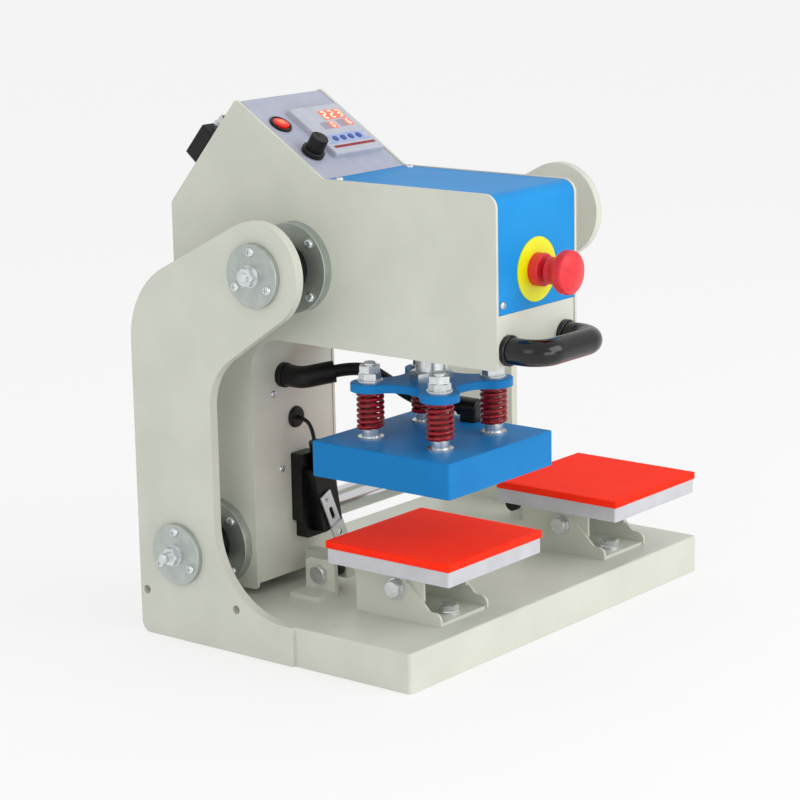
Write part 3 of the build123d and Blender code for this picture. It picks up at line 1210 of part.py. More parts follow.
def spider_outline():
    """Four round ears joined by concave edges that touch them smoothly."""
    half = STUD_SPACING / 2
    ear = SPIDER_EAR_RADIUS
    lean = SPIDER_WAIST - half
    hollow = (half ** 2 + lean ** 2 - ear ** 2) / (2 * (ear - lean))
    touches = []
    for quarter in range(4):
        side = Vector(1, 0, 0).rotate(Axis.Z, 90 * quarter)
        for turn in (-45, 45):
            centre = side.rotate(Axis.Z, turn) * half * sqrt(2)
            touches.append(centre + (side * (hollow + SPIDER_WAIST) - centre).normalized() * ear)
    edges = []
    for quarter in range(4):
        side = Vector(1, 0, 0).rotate(Axis.Z, 90 * quarter)
        tip = side.rotate(Axis.Z, 45) * (half * sqrt(2) + ear)
        first, second, third = (touches[(2 * quarter + step) % 8] for step in range(3))
        edges.append(ThreePointArc(first, side * SPIDER_WAIST, second).edge())
        edges.append(ThreePointArc(second, tip, third).edge())
    return make_face(Wire(edges))


def spider_plate():
    plate = extrude(spider_outline(), SPIDER_THICKNESS)
    plate = chamfer(plate.faces().sort_by(Axis.Z)[-1].edges(), 0.6)
    for x, y in STUDS:
        hole = Pos(x - STATION_X, y - PRESS_Y) * cylinder(STUD_RADIUS + SHAFT_FIT, SPIDER_THICKNESS)
        plate -= hole
    plate -= cylinder(ROD_RADIUS + THREAD_FIT, SPIDER_THICKNESS)
    return Pos(STATION_X, PRESS_Y, SPIDER_BOTTOM_Z) * plate


PISTON_TOP_Z = CYLINDER_BASE_Z + CYLINDER_CAP + BARREL_HEIGHT - PISTON_TOP_GAP


def piston_rod():
    """Piston and rod in one, with the wide collar under the head's floor."""
    piston = Pos(0, 0, PISTON_TOP_Z - PISTON_HEIGHT) * cylinder(CYLINDER_BORE_RADIUS - PISTON_FIT, PISTON_HEIGHT)
    rod = Pos(0, 0, SPIDER_BOTTOM_Z - 6) * cylinder(ROD_RADIUS, PISTON_TOP_Z - SPIDER_BOTTOM_Z)
    collar_z = SPIDER_TOP_Z + ROD_NUT_HEIGHT
    collar = Pos(0, 0, collar_z) * cylinder(ROD_COLLAR_RADIUS, HEAD_BOTTOM_Z - 2 - collar_z)
    return Pos(STATION_X, PRESS_Y, 0) * (piston + rod + collar)


def rod_nut():
    nut = hexagon(ROD_NUT_SIZE, ROD_NUT_HEIGHT) & cone_cap(ROD_NUT_SIZE, ROD_NUT_HEIGHT)
    nut -= cylinder(ROD_RADIUS + THREAD_FIT, ROD_NUT_HEIGHT)
    return Pos(STATION_X, PRESS_Y, SPIDER_TOP_Z) * nut


plate_top = HEATER_BOTTOM_Z + HEATING_PLATE_HEIGHT
nodes["heater_cover"] = [heater_cover()]
nodes["heating_plate"] = [inner_slab(HEATER_BOTTOM_Z, plate_top)]
nodes["heater_insulation"] = [inner_slab(plate_top, HEATER_TOP_Z - HEATER_SHEET)]
nodes["pressure_studs"] = stud_parts()
nodes["stud_nuts"] = stud_nuts()
nodes["pressure_springs"] = [spring(x, y) for x, y in STUDS]
nodes["heater_elbow"] = [heater_elbow()]
nodes["spider_plate"] = [spider_plate()]
nodes["piston_rod"] = [piston_rod()]
nodes["rod_nut"] = [rod_nut()]

for name, solids in nodes.items():
    shape = solids[0] if len(solids) == 1 else Compound(children=solids)
    export_step(shape, f"parts/{name}.step")
print(len(nodes), "nodes")
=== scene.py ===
# %% [markdown]
# # Two-station heat press
# A small pneumatic press: a heat block hangs from a carriage that slides on two chrome shafts between
# a left and a right station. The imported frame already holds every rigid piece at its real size, so this
# script dresses it: camera, light, one finish for each kind of surface, and the pieces that are soft,
# printed or flexible.

# %% Load the frame
import json
import math
import bpy
from mathutils import Matrix, Vector


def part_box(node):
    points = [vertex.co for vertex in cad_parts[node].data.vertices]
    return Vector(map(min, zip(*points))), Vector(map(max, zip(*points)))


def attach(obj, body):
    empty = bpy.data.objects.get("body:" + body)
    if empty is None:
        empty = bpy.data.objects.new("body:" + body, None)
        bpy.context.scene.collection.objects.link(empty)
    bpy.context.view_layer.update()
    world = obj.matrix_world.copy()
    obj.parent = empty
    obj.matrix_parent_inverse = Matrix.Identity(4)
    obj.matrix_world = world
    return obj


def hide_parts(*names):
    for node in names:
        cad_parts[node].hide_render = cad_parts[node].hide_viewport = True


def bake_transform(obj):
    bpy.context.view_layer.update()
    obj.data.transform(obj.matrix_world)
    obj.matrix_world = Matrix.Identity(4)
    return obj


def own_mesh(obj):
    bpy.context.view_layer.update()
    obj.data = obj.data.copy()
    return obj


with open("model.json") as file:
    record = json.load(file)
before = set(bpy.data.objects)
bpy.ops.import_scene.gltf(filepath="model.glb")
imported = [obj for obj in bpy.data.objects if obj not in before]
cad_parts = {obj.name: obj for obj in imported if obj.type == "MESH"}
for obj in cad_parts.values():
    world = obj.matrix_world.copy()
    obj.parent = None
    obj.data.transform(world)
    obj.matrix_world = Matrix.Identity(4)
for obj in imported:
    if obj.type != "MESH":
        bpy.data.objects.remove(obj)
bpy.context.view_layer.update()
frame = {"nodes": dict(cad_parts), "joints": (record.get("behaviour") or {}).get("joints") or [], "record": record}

# %% [markdown]
# ## Camera
# The view was solved from the edges of the platens, base and head, so the camera stands where the
# photographer stood: left of the press, a little above it, with a long lens that keeps verticals upright.

# %% Camera
IMAGE_SIZE = 800
FOCAL_PIXELS = 2541.4
CENTRE_X, CENTRE_Y = 410.70, 407.39
AZIMUTH = math.radians(-51.448)
ELEVATION = math.radians(12.906)
ROLL = math.radians(-0.984)
DISTANCE = 2.62728
AIM = Vector((0.004741, 0.02445, 0.20083))
SENSOR = 36.0
CLIP_END = 50

level = math.cos(ELEVATION)
right = Vector((math.cos(AZIMUTH), math.sin(AZIMUTH), 0))
back = Vector((math.sin(AZIMUTH) * level, -math.cos(AZIMUTH) * level, math.sin(ELEVATION)))
up = back.cross(right)
rolled_right = right * math.cos(ROLL) + up * math.sin(ROLL)
rolled_up = up * math.cos(ROLL) - right * math.sin(ROLL)
camera_data = bpy.data.cameras.new("view")
camera_data.sensor_width = SENSOR
camera_data.lens = FOCAL_PIXELS / IMAGE_SIZE * SENSOR
camera_data.shift_x = (IMAGE_SIZE / 2 - CENTRE_X) / IMAGE_SIZE
camera_data.shift_y = (CENTRE_Y - IMAGE_SIZE / 2) / IMAGE_SIZE
camera_data.clip_end = CLIP_END
camera = bpy.data.objects.new("view", camera_data)
bpy.context.scene.collection.objects.link(camera)
axes = Matrix((rolled_right, rolled_up, back)).transposed().to_4x4()
camera.matrix_world = Matrix.Translation(AIM + back * DISTANCE) @ axes
bpy.context.scene.camera = camera
print("lens", round(camera_data.lens, 1), "mm")

# %% [markdown]
# ## Colours and nodes
# A finish is written with the hex value that the eye reads, and the renderer wants linear light, so one
# function converts. A second one adds a node with its settings and links, which keeps each finish short.
# The others give the patterns that every surface needs: a grain, a drift of tone, a drift of gloss and a
# fine relief.

# %% Helpers for finishes
MM = 0.001


def linear(code):
    """Linear colour of an sRGB hex value, by the sRGB curve's own numbers."""
    channels = [int(code[i:i + 2], 16) / 255 for i in (0, 2, 4)]
    return [c / 12.92 if c <= 0.04045 else ((c + 0.055) / 1.055) ** 2.4 for c in channels] + [1.0]


def add(tree, kind, links=None, **settings):
    """Adds a node; settings are attributes or input values, links are input name to output socket."""
    node = tree.nodes.new("ShaderNode" + kind)
    for name, value in settings.items():
        if hasattr(node, name):
            setattr(node, name, value)
        else:
            node.inputs[name.replace("_", " ")].default_value = value
    for name, socket in (links or {}).items():
        tree.links.new(socket, node.inputs[name])
    return node


def material(name):
    """Empty node material, and the shader tree to fill."""
    new = bpy.data.materials.new(name)
    new.use_nodes = True
    new.node_tree.nodes.clear()
    return new, new.node_tree


def finish(tree, shader):
    """Links the shader to the material's output."""
    add(tree, "OutputMaterial", {"Surface": shader.outputs[0]})


def grain(tree, size_mm, detail, stretch=(1, 1, 1)):
    """Noise on object coordinates whose features are size_mm across."""
    place = add(tree, "TexCoord")
    scaled = add(tree, "Mapping", {"Vector": place.outputs["Object"]}, Scale=stretch)
    return add(tree, "TexNoise", {"Vector": scaled.outputs[0]}, Scale=1 / (size_mm * MM), Detail=detail)


def vary(tree, noise, dark, light, low=0.35, high=0.65):
    """Colour that wanders between two values."""
    ramp = add(tree, "ValToRGB", {"Fac": noise.outputs["Fac"]})
    ramp.color_ramp.elements[0].position = low
    ramp.color_ramp.elements[1].position = high
    ramp.color_ramp.elements[0].color = linear(dark)
    ramp.color_ramp.elements[1].color = linear(light)
    return ramp


def spread(tree, noise, low, high):
    """Value that wanders between two limits with a noise."""
    return add(tree, "MapRange", {"Value": noise.outputs["Fac"]}, To_Min=low, To_Max=high)


def bump(tree, noise, height_mm):
    """Relief of height_mm that follows a noise."""
    return add(tree, "Bump", {"Height": noise.outputs["Fac"]}, Distance=height_mm * MM, Strength=1.0)


def surface(colour, rough, relief):
    """Links that most finishes share: colour, roughness and relief."""
    return {"Base Color": colour.outputs[0], "Roughness": rough.outputs[0], "Normal": relief.outputs[0]}


print("helpers for finishes ready")

# %% [markdown]
# ## Powder coat
# The frame is sheet steel with a cream semi-gloss powder coat. Powder flows out into a faint orange peel
# with waves of almost two millimetres, and large faces drift a little in tone. The blue covers and the
# blue heat block have the same coat in other colours.

# %% Coated steel
PEEL_MM = 1.8
PEEL_HEIGHT_MM = 0.035
MOTTLE_MM = 60.0
COAT_SMOOTHER, COAT_ROUGHER = 0.05, 0.06


def coated_steel(name, dark, light, roughness, index=1.42):
    """Powder coat: slow drift of tone, orange peel, a thin glossy skin."""
    coat, tree = material(name)
    drift = vary(tree, grain(tree, MOTTLE_MM, detail=3), dark, light)
    peel = bump(tree, grain(tree, PEEL_MM, detail=1), PEEL_HEIGHT_MM)
    dull = grain(tree, MOTTLE_MM / 4, detail=4)
    rough = spread(tree, dull, roughness - COAT_SMOOTHER, roughness + COAT_ROUGHER)
    finish(tree, add(tree, "BsdfPrincipled", surface(drift, rough, peel), IOR=index))
    return coat


cream_coat = coated_steel("cream_powder_coat", "CCCFC2", "D2D5C8", 0.33)
blue_coat = coated_steel("blue_cover_coat", "0588D0", "0A8ED6", 0.45, index=1.3)
block_coat = coated_steel("blue_heat_block_coat", "0276BA", "067CC0", 0.48, index=1.3)
print("coats", cream_coat.name, blue_coat.name, block_coat.name)

# %% [markdown]
# ## Metals
# The shafts are ground and hard chromed, so they mirror the room with fine lines round them. The discs and
# flanges are turned steel with a zinc coat: rings from the lathe and a cloudy passivation. Bolts are the
# same zinc, brighter. The platens are cast aluminium with a pale grey coat of their own.

# %% Chrome, zinc, bright steel and aluminium
GRIND_MM = 0.6
GRIND_HEIGHT_MM = 0.002
ROUND_THE_SHAFT = (1, 0.02, 0.02)
LATHE_MM = 0.9
LATHE_HEIGHT_MM = 0.012
ROUND_THE_DISC = (0.15, 1, 1)
CLOUD_MM = 9.0
ZINC_SMOOTHER, ZINC_ROUGHER = 0.07, 0.1
PLATEN_CLOUD_MM = 25
PLATEN_DULL_MM = 4
SAND_MM = 0.8
SAND_HEIGHT_MM = 0.01


def ground_chrome():
    """Hard chrome with the grinding lines round a shaft along X."""
    chrome, tree = material("ground_chrome_shaft")
    lines = grain(tree, GRIND_MM, detail=2, stretch=ROUND_THE_SHAFT)
    rough = spread(tree, lines, low=0.06, high=0.16)
    relief = bump(tree, lines, GRIND_HEIGHT_MM)
    links = {"Roughness": rough.outputs[0], "Normal": relief.outputs[0]}
    finish(tree, add(tree, "BsdfPrincipled", links, Base_Color=linear("DADCDF"), Metallic=1.0))
    return chrome


def zinc_plate(name, dark, light, roughness):
    """Turned and plated steel: clouds of passivation over fine lathe marks."""
    zinc, tree = material(name)
    clouds = vary(tree, grain(tree, CLOUD_MM, detail=5), dark, light, low=0.3, high=0.7)
    marks = grain(tree, LATHE_MM, detail=3, stretch=ROUND_THE_DISC)
    rough = spread(tree, marks, roughness - ZINC_SMOOTHER, roughness + ZINC_ROUGHER)
    relief = bump(tree, marks, LATHE_HEIGHT_MM)
    finish(tree, add(tree, "BsdfPrincipled", surface(clouds, rough, relief), Metallic=0.85))
    return zinc


def coated_aluminium():
    """Pale coat over a sand-cast plate."""
    plate, tree = material("pale_platen_coat")
    tone = vary(tree, grain(tree, PLATEN_CLOUD_MM, detail=4), "C0C1C6", "CACBD0")
    rough = spread(tree, grain(tree, PLATEN_DULL_MM, detail=4), low=0.4, high=0.52)
    relief = bump(tree, grain(tree, SAND_MM, detail=2), SAND_HEIGHT_MM)
    finish(tree, add(tree, "BsdfPrincipled", surface(tone, rough, relief), Metallic=0.15, IOR=1.5))
    return plate


chrome = ground_chrome()
zinc_disc = zinc_plate("turned_zinc_disc", "B2B9B4", "C0C6C2", 0.42)
bright_bolt = zinc_plate("bright_zinc_bolt", "CDD1D2", "E4E7E9", 0.22)
platen_coat = coated_aluminium()
print("metals", chrome.name, zinc_disc.name, bright_bolt.name, platen_coat.name)

# %% [markdown]
# ## Rubber, silicone and plastics
# Silicone sheet is matt and even, with a faint painted glow of its own red that brightens it, and a little
# light enters it. Moulded plastics have a soft gloss with spark-eroded grain of about a third of a
# millimetre, drawn here at half a millimetre so that it shows. The cells and bars of the display glow by
# themselves.

# %% Moulded materials
MOULD_MM = 0.5
MOULD_TONE_MM = 12
MOULD_DULL_MM = 3
MOULD_SMOOTHER, MOULD_ROUGHER = 0.05, 0.07
LIGHT_DEPTH = 2 * MM


def moulded(name, dark, light, roughness, relief_mm, glow=0.0, sink=0.0, index=1.49):
    """Moulded or pressed surface with a fine grain; glow is light it gives out, a lamp's or a painted glow, sink
    the light that enters.
    """
    mould, tree = material(name)
    tone = vary(tree, grain(tree, MOULD_TONE_MM, detail=3), dark, light)
    dull = grain(tree, MOULD_DULL_MM, detail=3)
    rough = spread(tree, dull, roughness - MOULD_SMOOTHER, roughness + MOULD_ROUGHER)
    texture = bump(tree, grain(tree, MOULD_MM, detail=2), relief_mm)
    shader = add(
        tree, "BsdfPrincipled", surface(tone, rough, texture), IOR=index, Emission_Color=linear(light),
        Emission_Strength=glow, Subsurface_Weight=sink, Subsurface_Scale=LIGHT_DEPTH,
    )
    finish(tree, shader)
    return mould


# The silicone has a faint painted glow of its own red (glow 0.05); no lamp is behind it.
silicone = moulded("red_silicone_sheet_painted_glow", "FF2400", "FF2C06", 0.7, 0.006, glow=0.05, sink=0.04, index=1.3)
black_rubber = moulded("black_rubber", "050505", "0A0A0A", 0.45, 0.01, index=1.4)
black_moulding = moulded("black_nylon_moulding", "060707", "0C0D0D", 0.36, 0.01, index=1.4)
black_gloss = moulded("black_gloss_handle", "050506", "0A0A0B", 0.16, 0.002)
yellow_disc = moulded("yellow_printed_plate", "E2E600", "E8EC04", 0.4, 0.002)
red_button = moulded("red_stop_button", "D81F2A", "E32A34", 0.36, 0.003, sink=0.03)
spring_paint = moulded("dark_red_spring_paint", "80000A", "96000E", 0.22, 0.004)
panel_film = moulded("lavender_panel_film", "A8ABBC", "AEB1C2", 0.42, 0.003)
bezel_grey = moulded("grey_controller_bezel", "B4B7C2", "BCBFCA", 0.35, 0.003)
key_blue = moulded("blue_key_cap", "2C4E9A", "3458A6", 0.35, 0.002)
strip_blue = moulded("pale_blue_key_strip", "98A9DA", "A2B2E2", 0.35, 0.002)
unlit_cell = moulded("grey_unlit_cell", "9A90A0", "A298A8", 0.3, 0.0)
lit_cell = moulded("glowing_red_cell", "EE6A58", "F47A66", 0.3, 0.0, glow=0.25)
led_red = moulded("bright_led_segment", "FFC8A8", "FFD8BC", 0.3, 0.0, glow=0.7)
mark_dark = moulded("dark_red_print", "8E1220", "9C1826", 0.4, 0.0)
edge_blue = moulded("dark_blue_print", "1C2450", "222A58", 0.4, 0.0)
fibre_board = moulded("ceramic_fibre_board", "D5CFBF", "DFD9CB", 0.8, 0.05)
print("moulded finishes from", silicone.name, "to", fibre_board.name)

# %% [markdown]
# ## The lit rocker
# The power rocker is a clear red lens with a lamp behind it. It is warm and bright over the lamp and falls
# off to a deep red at the rim, so its colour follows the distance from the rocker's middle.

# %% Lens of the power rocker
ROCKER_GLOW = 8 * MM
LENS_RIM_SHARE = 0.85
LENS_RIB_HEIGHT_MM = 0.01


def lit_lens(centre, radius):
    """Lens with its lamp behind: warm in the middle, deep red at the rim."""
    lens, tree = material("lit_rocker_lens")
    place = add(tree, "TexCoord")
    away = add(tree, "VectorMath", {0: place.outputs["Object"]}, operation="DISTANCE")
    away.inputs[1].default_value = centre
    share = add(tree, "MapRange", {"Value": away.outputs["Value"]}, From_Max=radius)
    ramp = add(tree, "ValToRGB", {"Fac": share.outputs[0]})
    ramp.color_ramp.elements[0].color = linear("FFB060")
    ramp.color_ramp.elements[1].color = linear("C81408")
    ramp.color_ramp.elements[1].position = LENS_RIM_SHARE
    ribs = bump(tree, grain(tree, MOULD_MM, detail=1), LENS_RIB_HEIGHT_MM)
    links = {"Base Color": ramp.outputs[0], "Emission Color": ramp.outputs[0], "Normal": ribs.outputs[0]}
    finish(tree, add(tree, "BsdfPrincipled", links, Roughness=0.15, Emission_Strength=0.45))
    return lens


rocker_low, rocker_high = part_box("power_rocker")
red_lens = lit_lens((rocker_low + rocker_high) / 2, ROCKER_GLOW)
print("lens", red_lens.name)

# %% [markdown]
# ## Dress the frame
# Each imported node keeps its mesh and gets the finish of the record's slot.

# %% Give each node its finish
FINISH_OF_SLOT = {
    "frame_paint": cream_coat, "cover_blue": blue_coat, "heat_blue": block_coat, "panel_film": panel_film,
    "shaft_chrome": chrome, "zinc": zinc_disc, "steel": bright_bolt, "platen_aluminium": platen_coat,
    "silicone_red": silicone, "black_rubber": black_rubber, "black_plastic": black_moulding,
    "handle_black": black_gloss, "yellow_plate": yellow_disc, "stop_red": red_button,
    "display_face": bezel_grey, "key_blue": key_blue, "rocker_red": red_lens, "spring_red": spring_paint,
    "insulation": fibre_board,
}
slot_of = {part["node"]: part["material_slot"] for part in frame["record"]["subparts"]}
for name, node in frame["nodes"].items():
    node.data.materials.clear()
    node.data.materials.append(FINISH_OF_SLOT[slot_of[name]])
print("dressed", len(slot_of), "nodes")

# %% [markdown]
# ## Tools for new pieces
# New pieces start as a primitive of the right size, which is shaped in edit mode and then set into the
# frame with its place in its mesh, so that object coordinates are the press's own.

# %% Modelling helpers
BLOCK_SMOOTH_ANGLE = math.radians(35)


def pick(pieces):
    """Selects these objects alone, with the first one active."""
    bpy.ops.object.select_all(action="DESELECT")
    for piece in pieces:
        piece.select_set(True)
    bpy.context.view_layer.objects.active = pieces[0]


def new_block(name, size, bevel=0.0, segments=1):
    """Block about the origin, size in metres, with rounded edges where bevel says so."""
    bpy.ops.object.select_all(action="DESELECT")
    bpy.ops.mesh.primitive_cube_add(size=1)
    piece = bpy.context.object
    piece.name = name
    bpy.ops.object.mode_set(mode="EDIT")
    bpy.ops.mesh.select_all(action="SELECT")
    bpy.ops.transform.resize(value=size)
    if bevel:
        bpy.ops.mesh.bevel(offset=bevel, segments=segments, profile=0.5)
    bpy.ops.object.mode_set(mode="OBJECT")
    return piece


def select_none():
    """Clears the selection inside the block made last."""
    bpy.ops.object.mode_set(mode="EDIT")
    bpy.ops.mesh.select_all(action="DESELECT")
    bpy.ops.object.mode_set(mode="OBJECT")


def set_in(piece, matrix, body, finish_of):
    """Bakes a place into the piece's mesh, shades it and lets it ride on a body."""
    piece.data.transform(matrix)
    piece.data.materials.clear()
    piece.data.materials.append(finish_of)
    pick([piece])
    bpy.ops.object.shade_smooth_by_angle(angle=BLOCK_SMOOTH_ANGLE)
    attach(piece, body)
    return piece


def joined(name, parts):
    """Joins several blocks into one piece."""
    pick(parts)
    bpy.ops.object.join()
    parts[0].name = name
    return parts[0]


print("modelling helpers ready")

# %% [markdown]
# ## Silicone pads
# Each platen carries a red silicone sheet. It is cut from sheet, so its edges are nearly square with a
# small soft round, and its top dips by a few tenths of a millimetre where blanks have been pressed.

# %% Silicone pads
PAD_BEVEL = 0.7 * MM
PAD_DIP = 0.35 * MM
PAD_RIM = 6 * MM
PAD_SLOPE = 8 * MM
FACES_UP = 0.99


def silicone_pad(name, low, high):
    """Sheet between two corners, with a shallow dip inside its rim."""
    size = high - low
    pad = new_block(name, size, PAD_BEVEL, segments=3)
    select_none()
    for face in pad.data.polygons:
        face.select = face.normal.z > FACES_UP and face.area > size.x * size.y / 2
    bpy.ops.object.mode_set(mode="EDIT")
    bpy.ops.mesh.inset(thickness=PAD_RIM, depth=0)
    bpy.ops.mesh.inset(thickness=PAD_SLOPE, depth=-PAD_DIP)
    bpy.ops.object.mode_set(mode="OBJECT")
    return set_in(pad, Matrix.Translation((low + high) / 2), "base", silicone)


pad_low, pad_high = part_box("silicone_pads")
pad_side = pad_high.y - pad_low.y
pad_size = Vector((pad_side, pad_side, pad_high.z - pad_low.z))
for side, x in (("left", pad_low.x), ("right", pad_high.x - pad_side)):
    low = Vector((x, pad_low.y, pad_low.z))
    silicone_pad(f"silicone_pad_{side}", low, low + pad_size)
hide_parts("silicone_pads")
print("pads", [round(side / MM, 1) for side in pad_size], "mm")

# %% [markdown]
# ## The controller's face
# The controller's face is built flat and then stood on the sloped panel. The keys move straight into the
# panel, so the axis of their joint gives the panel's normal, and the middle of the controller's case gives
# the face its origin.

# %% Plane of the panel
normal = -Vector(next(j for j in frame["joints"] if j["name"] == "key_press_1")["axis"])
across = Vector((1, 0, 0))
upslope = normal.cross(across)


def reach(node, direction):
    """Least and greatest reach of a node's corners along a direction."""
    steps = [v.co.dot(direction) for v in frame["nodes"][node].data.vertices]
    return min(steps), max(steps)


def on_face(node):
    """Matrix of the middle of a node's front face on the panel."""
    x0, x1 = reach(node, across)
    y0, y1 = reach(node, upslope)
    top = reach(node, normal)[1]
    middle = across * (x0 + x1) / 2 + upslope * (y0 + y1) / 2 + normal * top
    turn = Matrix((across, upslope, normal)).transposed().to_4x4()
    return Matrix.Translation(middle) @ turn


face = on_face("controller_case")
print("panel slope", round(math.degrees(math.atan2(upslope.z, upslope.y)), 1), "degrees")

# %% [markdown]
# ## Cells and line
# Three tall glowing cells stand side by side for the large digits. Below them are two pairs of small
# cells, one lit and one dark in each, and a dark red line is printed near the lower edge. All are thin
# plates on the face, a quarter of a millimetre thick.

# %% Cells and line of the controller
RAISE = 0.25 * MM
BIG_CELL = (10.4 * MM, 14 * MM)
BIG_CELL_AT = [(x * MM, 20 * MM) for x in (1.5, 12.1, 22.7)]
SMALL_CELL = (9.6 * MM, 10 * MM)
UNLIT_AT = [(-11 * MM, 5 * MM), (13.5 * MM, 6 * MM)]
LIT_AT = [(-1 * MM, 5 * MM), (23.5 * MM, 6 * MM)]
CELL_BEVEL = 0.1 * MM
LINE_SIZE = (60 * MM, 3.0 * MM)
LINE_AT = (0, -26.5 * MM)
LINE_CORNER = 0.4 * MM


def plate_on_face(name, size, at, corner, finish_of):
    """Thin plate on the controller's face with rounded corners."""
    plate = new_block(name, (*size, RAISE))
    select_none()
    for edge in plate.data.edges:
        a, b = (plate.data.vertices[i].co for i in edge.vertices)
        edge.select = abs(a.z - b.z) > RAISE / 2
    bpy.ops.object.mode_set(mode="EDIT")
    bpy.ops.mesh.select_mode(type="EDGE")
    bpy.ops.mesh.bevel(offset=corner, segments=4)
    bpy.ops.mesh.select_mode(type="FACE")
    bpy.ops.object.mode_set(mode="OBJECT")
    set_in(plate, face @ Matrix.Translation((*at, RAISE / 2)), "carriage", finish_of)


def cells(name, size, places, finish_of):
    """Row of small plates in one piece."""
    plates = []
    for at in places:
        cell = new_block("cell", (*size, RAISE), CELL_BEVEL)
        cell.data.transform(Matrix.Translation((*at, RAISE / 2)))
        plates.append(cell)
    set_in(joined(name, plates), face, "carriage", finish_of)


cells("big_digit_cells", BIG_CELL, BIG_CELL_AT, lit_cell)
cells("unlit_cells", SMALL_CELL, UNLIT_AT, unlit_cell)
cells("small_lit_cells", SMALL_CELL, LIT_AT, lit_cell)
plate_on_face("print_line", LINE_SIZE, LINE_AT, LINE_CORNER, mark_dark)
print("cells", len(BIG_CELL_AT) + len(UNLIT_AT) + len(LIT_AT))

# %% [markdown]
# ## Key strip
# A pale blue strip surrounds the four keys. It is two rails above and below the keys and five short posts
# between and beside them, so that the keys pass through it. The posts are a hair lower than the rails.

# %% Key strip with holes for the keys
RAIL = (60 * MM, 2.2 * MM)
RAIL_STEP = 5.2 * MM
POST = (3.2 * MM, 9 * MM)
POST_HEIGHT = RAISE * 0.98
END_POST_STEP = 5.75 * MM

key_names = [f"key_{i + 1}" for i in range(4)]
key_x = [sum(reach(key, across)) / 2 - face.translation.x for key in key_names]
strip_y = sum(reach(key_names[0], upslope)) / 2 - face.translation.dot(upslope)
post_x = [(a + b) / 2 for a, b in zip(key_x, key_x[1:])]
post_x = [key_x[0] - END_POST_STEP, *post_x, key_x[-1] + END_POST_STEP]
rails = []
for sign in (-1, 1):
    rail = new_block("rail", (*RAIL, RAISE))
    rail.data.transform(Matrix.Translation((0, strip_y + sign * RAIL_STEP, RAISE / 2)))
    rails.append(rail)
for x in post_x:
    post = new_block("post", (*POST, POST_HEIGHT))
    post.data.transform(Matrix.Translation((x, strip_y, POST_HEIGHT / 2)))
    rails.append(post)
set_in(joined("key_strip", rails), face, "carriage", strip_blue)
print("strip of", len(rails), "bars")

# %% [markdown]
# ## Printed border
# A thin dark blue line runs up the left edge of the panel's film. The film lies below the bezel of the
# power switch, and the bezel's top gives its level.

# %% Printed border of the panel
BORDER_WIDTH = 0.9 * MM
BORDER_THICK = 0.1 * MM
BORDER_INSET = 1.2 * MM
BORDER_LOW, BORDER_HIGH = -54 * MM, 62 * MM
BEZEL_HEIGHT = 2.5 * MM

border = new_block("panel_border", (BORDER_WIDTH, BORDER_HIGH - BORDER_LOW, BORDER_THICK))
border_x = reach("control_panel", across)[0] + BORDER_INSET
panel_level = reach("power_switch_body", normal)[1] - BEZEL_HEIGHT
border_at = face.copy()
border_at.translation += across * (border_x - face.translation.x)
border_at.translation += upslope * ((BORDER_LOW + BORDER_HIGH) / 2)
border_at.translation += normal * (panel_level - face.translation.dot(normal))
set_in(border, border_at, "carriage", edge_blue)
print("border", round((BORDER_HIGH - BORDER_LOW) / MM), "mm")

# %% [markdown]
# ## Seven-bar digits
# Each figure is made of up to seven lit bars: a on top, d below, g in the middle, and f, b, e and c
# upright at the sides. The figures lean a little to the right, as on most such displays.

# %% Seven-bar digits
BARS_OF = {"0": "abcdef", "2": "abged", "3": "abgcd", "6": "afgedc"}
BIG_FIGURES, BIG_HEIGHT = "223", 9.6 * MM
SMALL_FIGURES, SMALL_HEIGHT = "06", 6.4 * MM
FIGURE_WIDTH = 0.52
BAR_THICK = 0.15
UPRIGHT_LENGTH, LEVEL_LENGTH = 0.36, 0.38
LEAN = 0.08


def digit(number, height, at):
    """Lit bars of one figure; at is its middle on the controller's face."""
    half = height * FIGURE_WIDTH / 2
    places = {
        "a": (0, height / 2, 0), "g": (0, 0, 0), "d": (0, -height / 2, 0),
        "f": (-half, height / 4, 1), "b": (half, height / 4, 1),
        "e": (-half, -height / 4, 1), "c": (half, -height / 4, 1),
    }
    lit = []
    for letter in BARS_OF[number]:
        x, y, upright = places[letter]
        long, thick = height * (UPRIGHT_LENGTH if upright else LEVEL_LENGTH), height * BAR_THICK
        bar = new_block("bar", (thick, long, RAISE) if upright else (long, thick, RAISE))
        bar.data.transform(Matrix.Translation((at[0] + x + y * LEAN, at[1] + y, RAISE * 1.5)))
        lit.append(bar)
    return lit


bars = []
for number, at in zip(BIG_FIGURES, BIG_CELL_AT):
    bars += digit(number, BIG_HEIGHT, at)
for number, at in zip(SMALL_FIGURES, LIT_AT):
    bars += digit(number, SMALL_HEIGHT, at)
set_in(joined("display_digits", bars), face, "carriage", led_red)
print("lit bars", len(bars))

# %% [markdown]
# ## Heater cable and switch lead
# The heater cable is stiff rubber. It leaves its boot, drops behind the springs and enters the elbow on
# the heat block from behind. It has to bend when the block goes down; here its tube is a plain mesh that
# rides on no body. The thin switch lead stays with the carriage.

# %% Cables
HEATER_CABLE_WIDTH = 13 * MM
SWITCH_LEAD_WIDTH = 4 * MM
HEATER_CABLE_POINTS = [
    (-0.1210, 0.0200, 0.2620), (-0.0990, 0.0000, 0.2665), (-0.0840, -0.0220, 0.2490),
    (-0.0745, -0.0450, 0.2330), (-0.0570, -0.0650, 0.2290), (-0.0570, -0.0880, 0.2290),
]
SWITCH_LEAD_POINTS = [
    (-0.1270, 0.0635, 0.2110), (-0.1270, 0.0525, 0.2100),
    (-0.1248, 0.0470, 0.1985), (-0.1226, 0.0470, 0.1872),
]
CABLE_SMOOTH_ANGLE = math.radians(40)


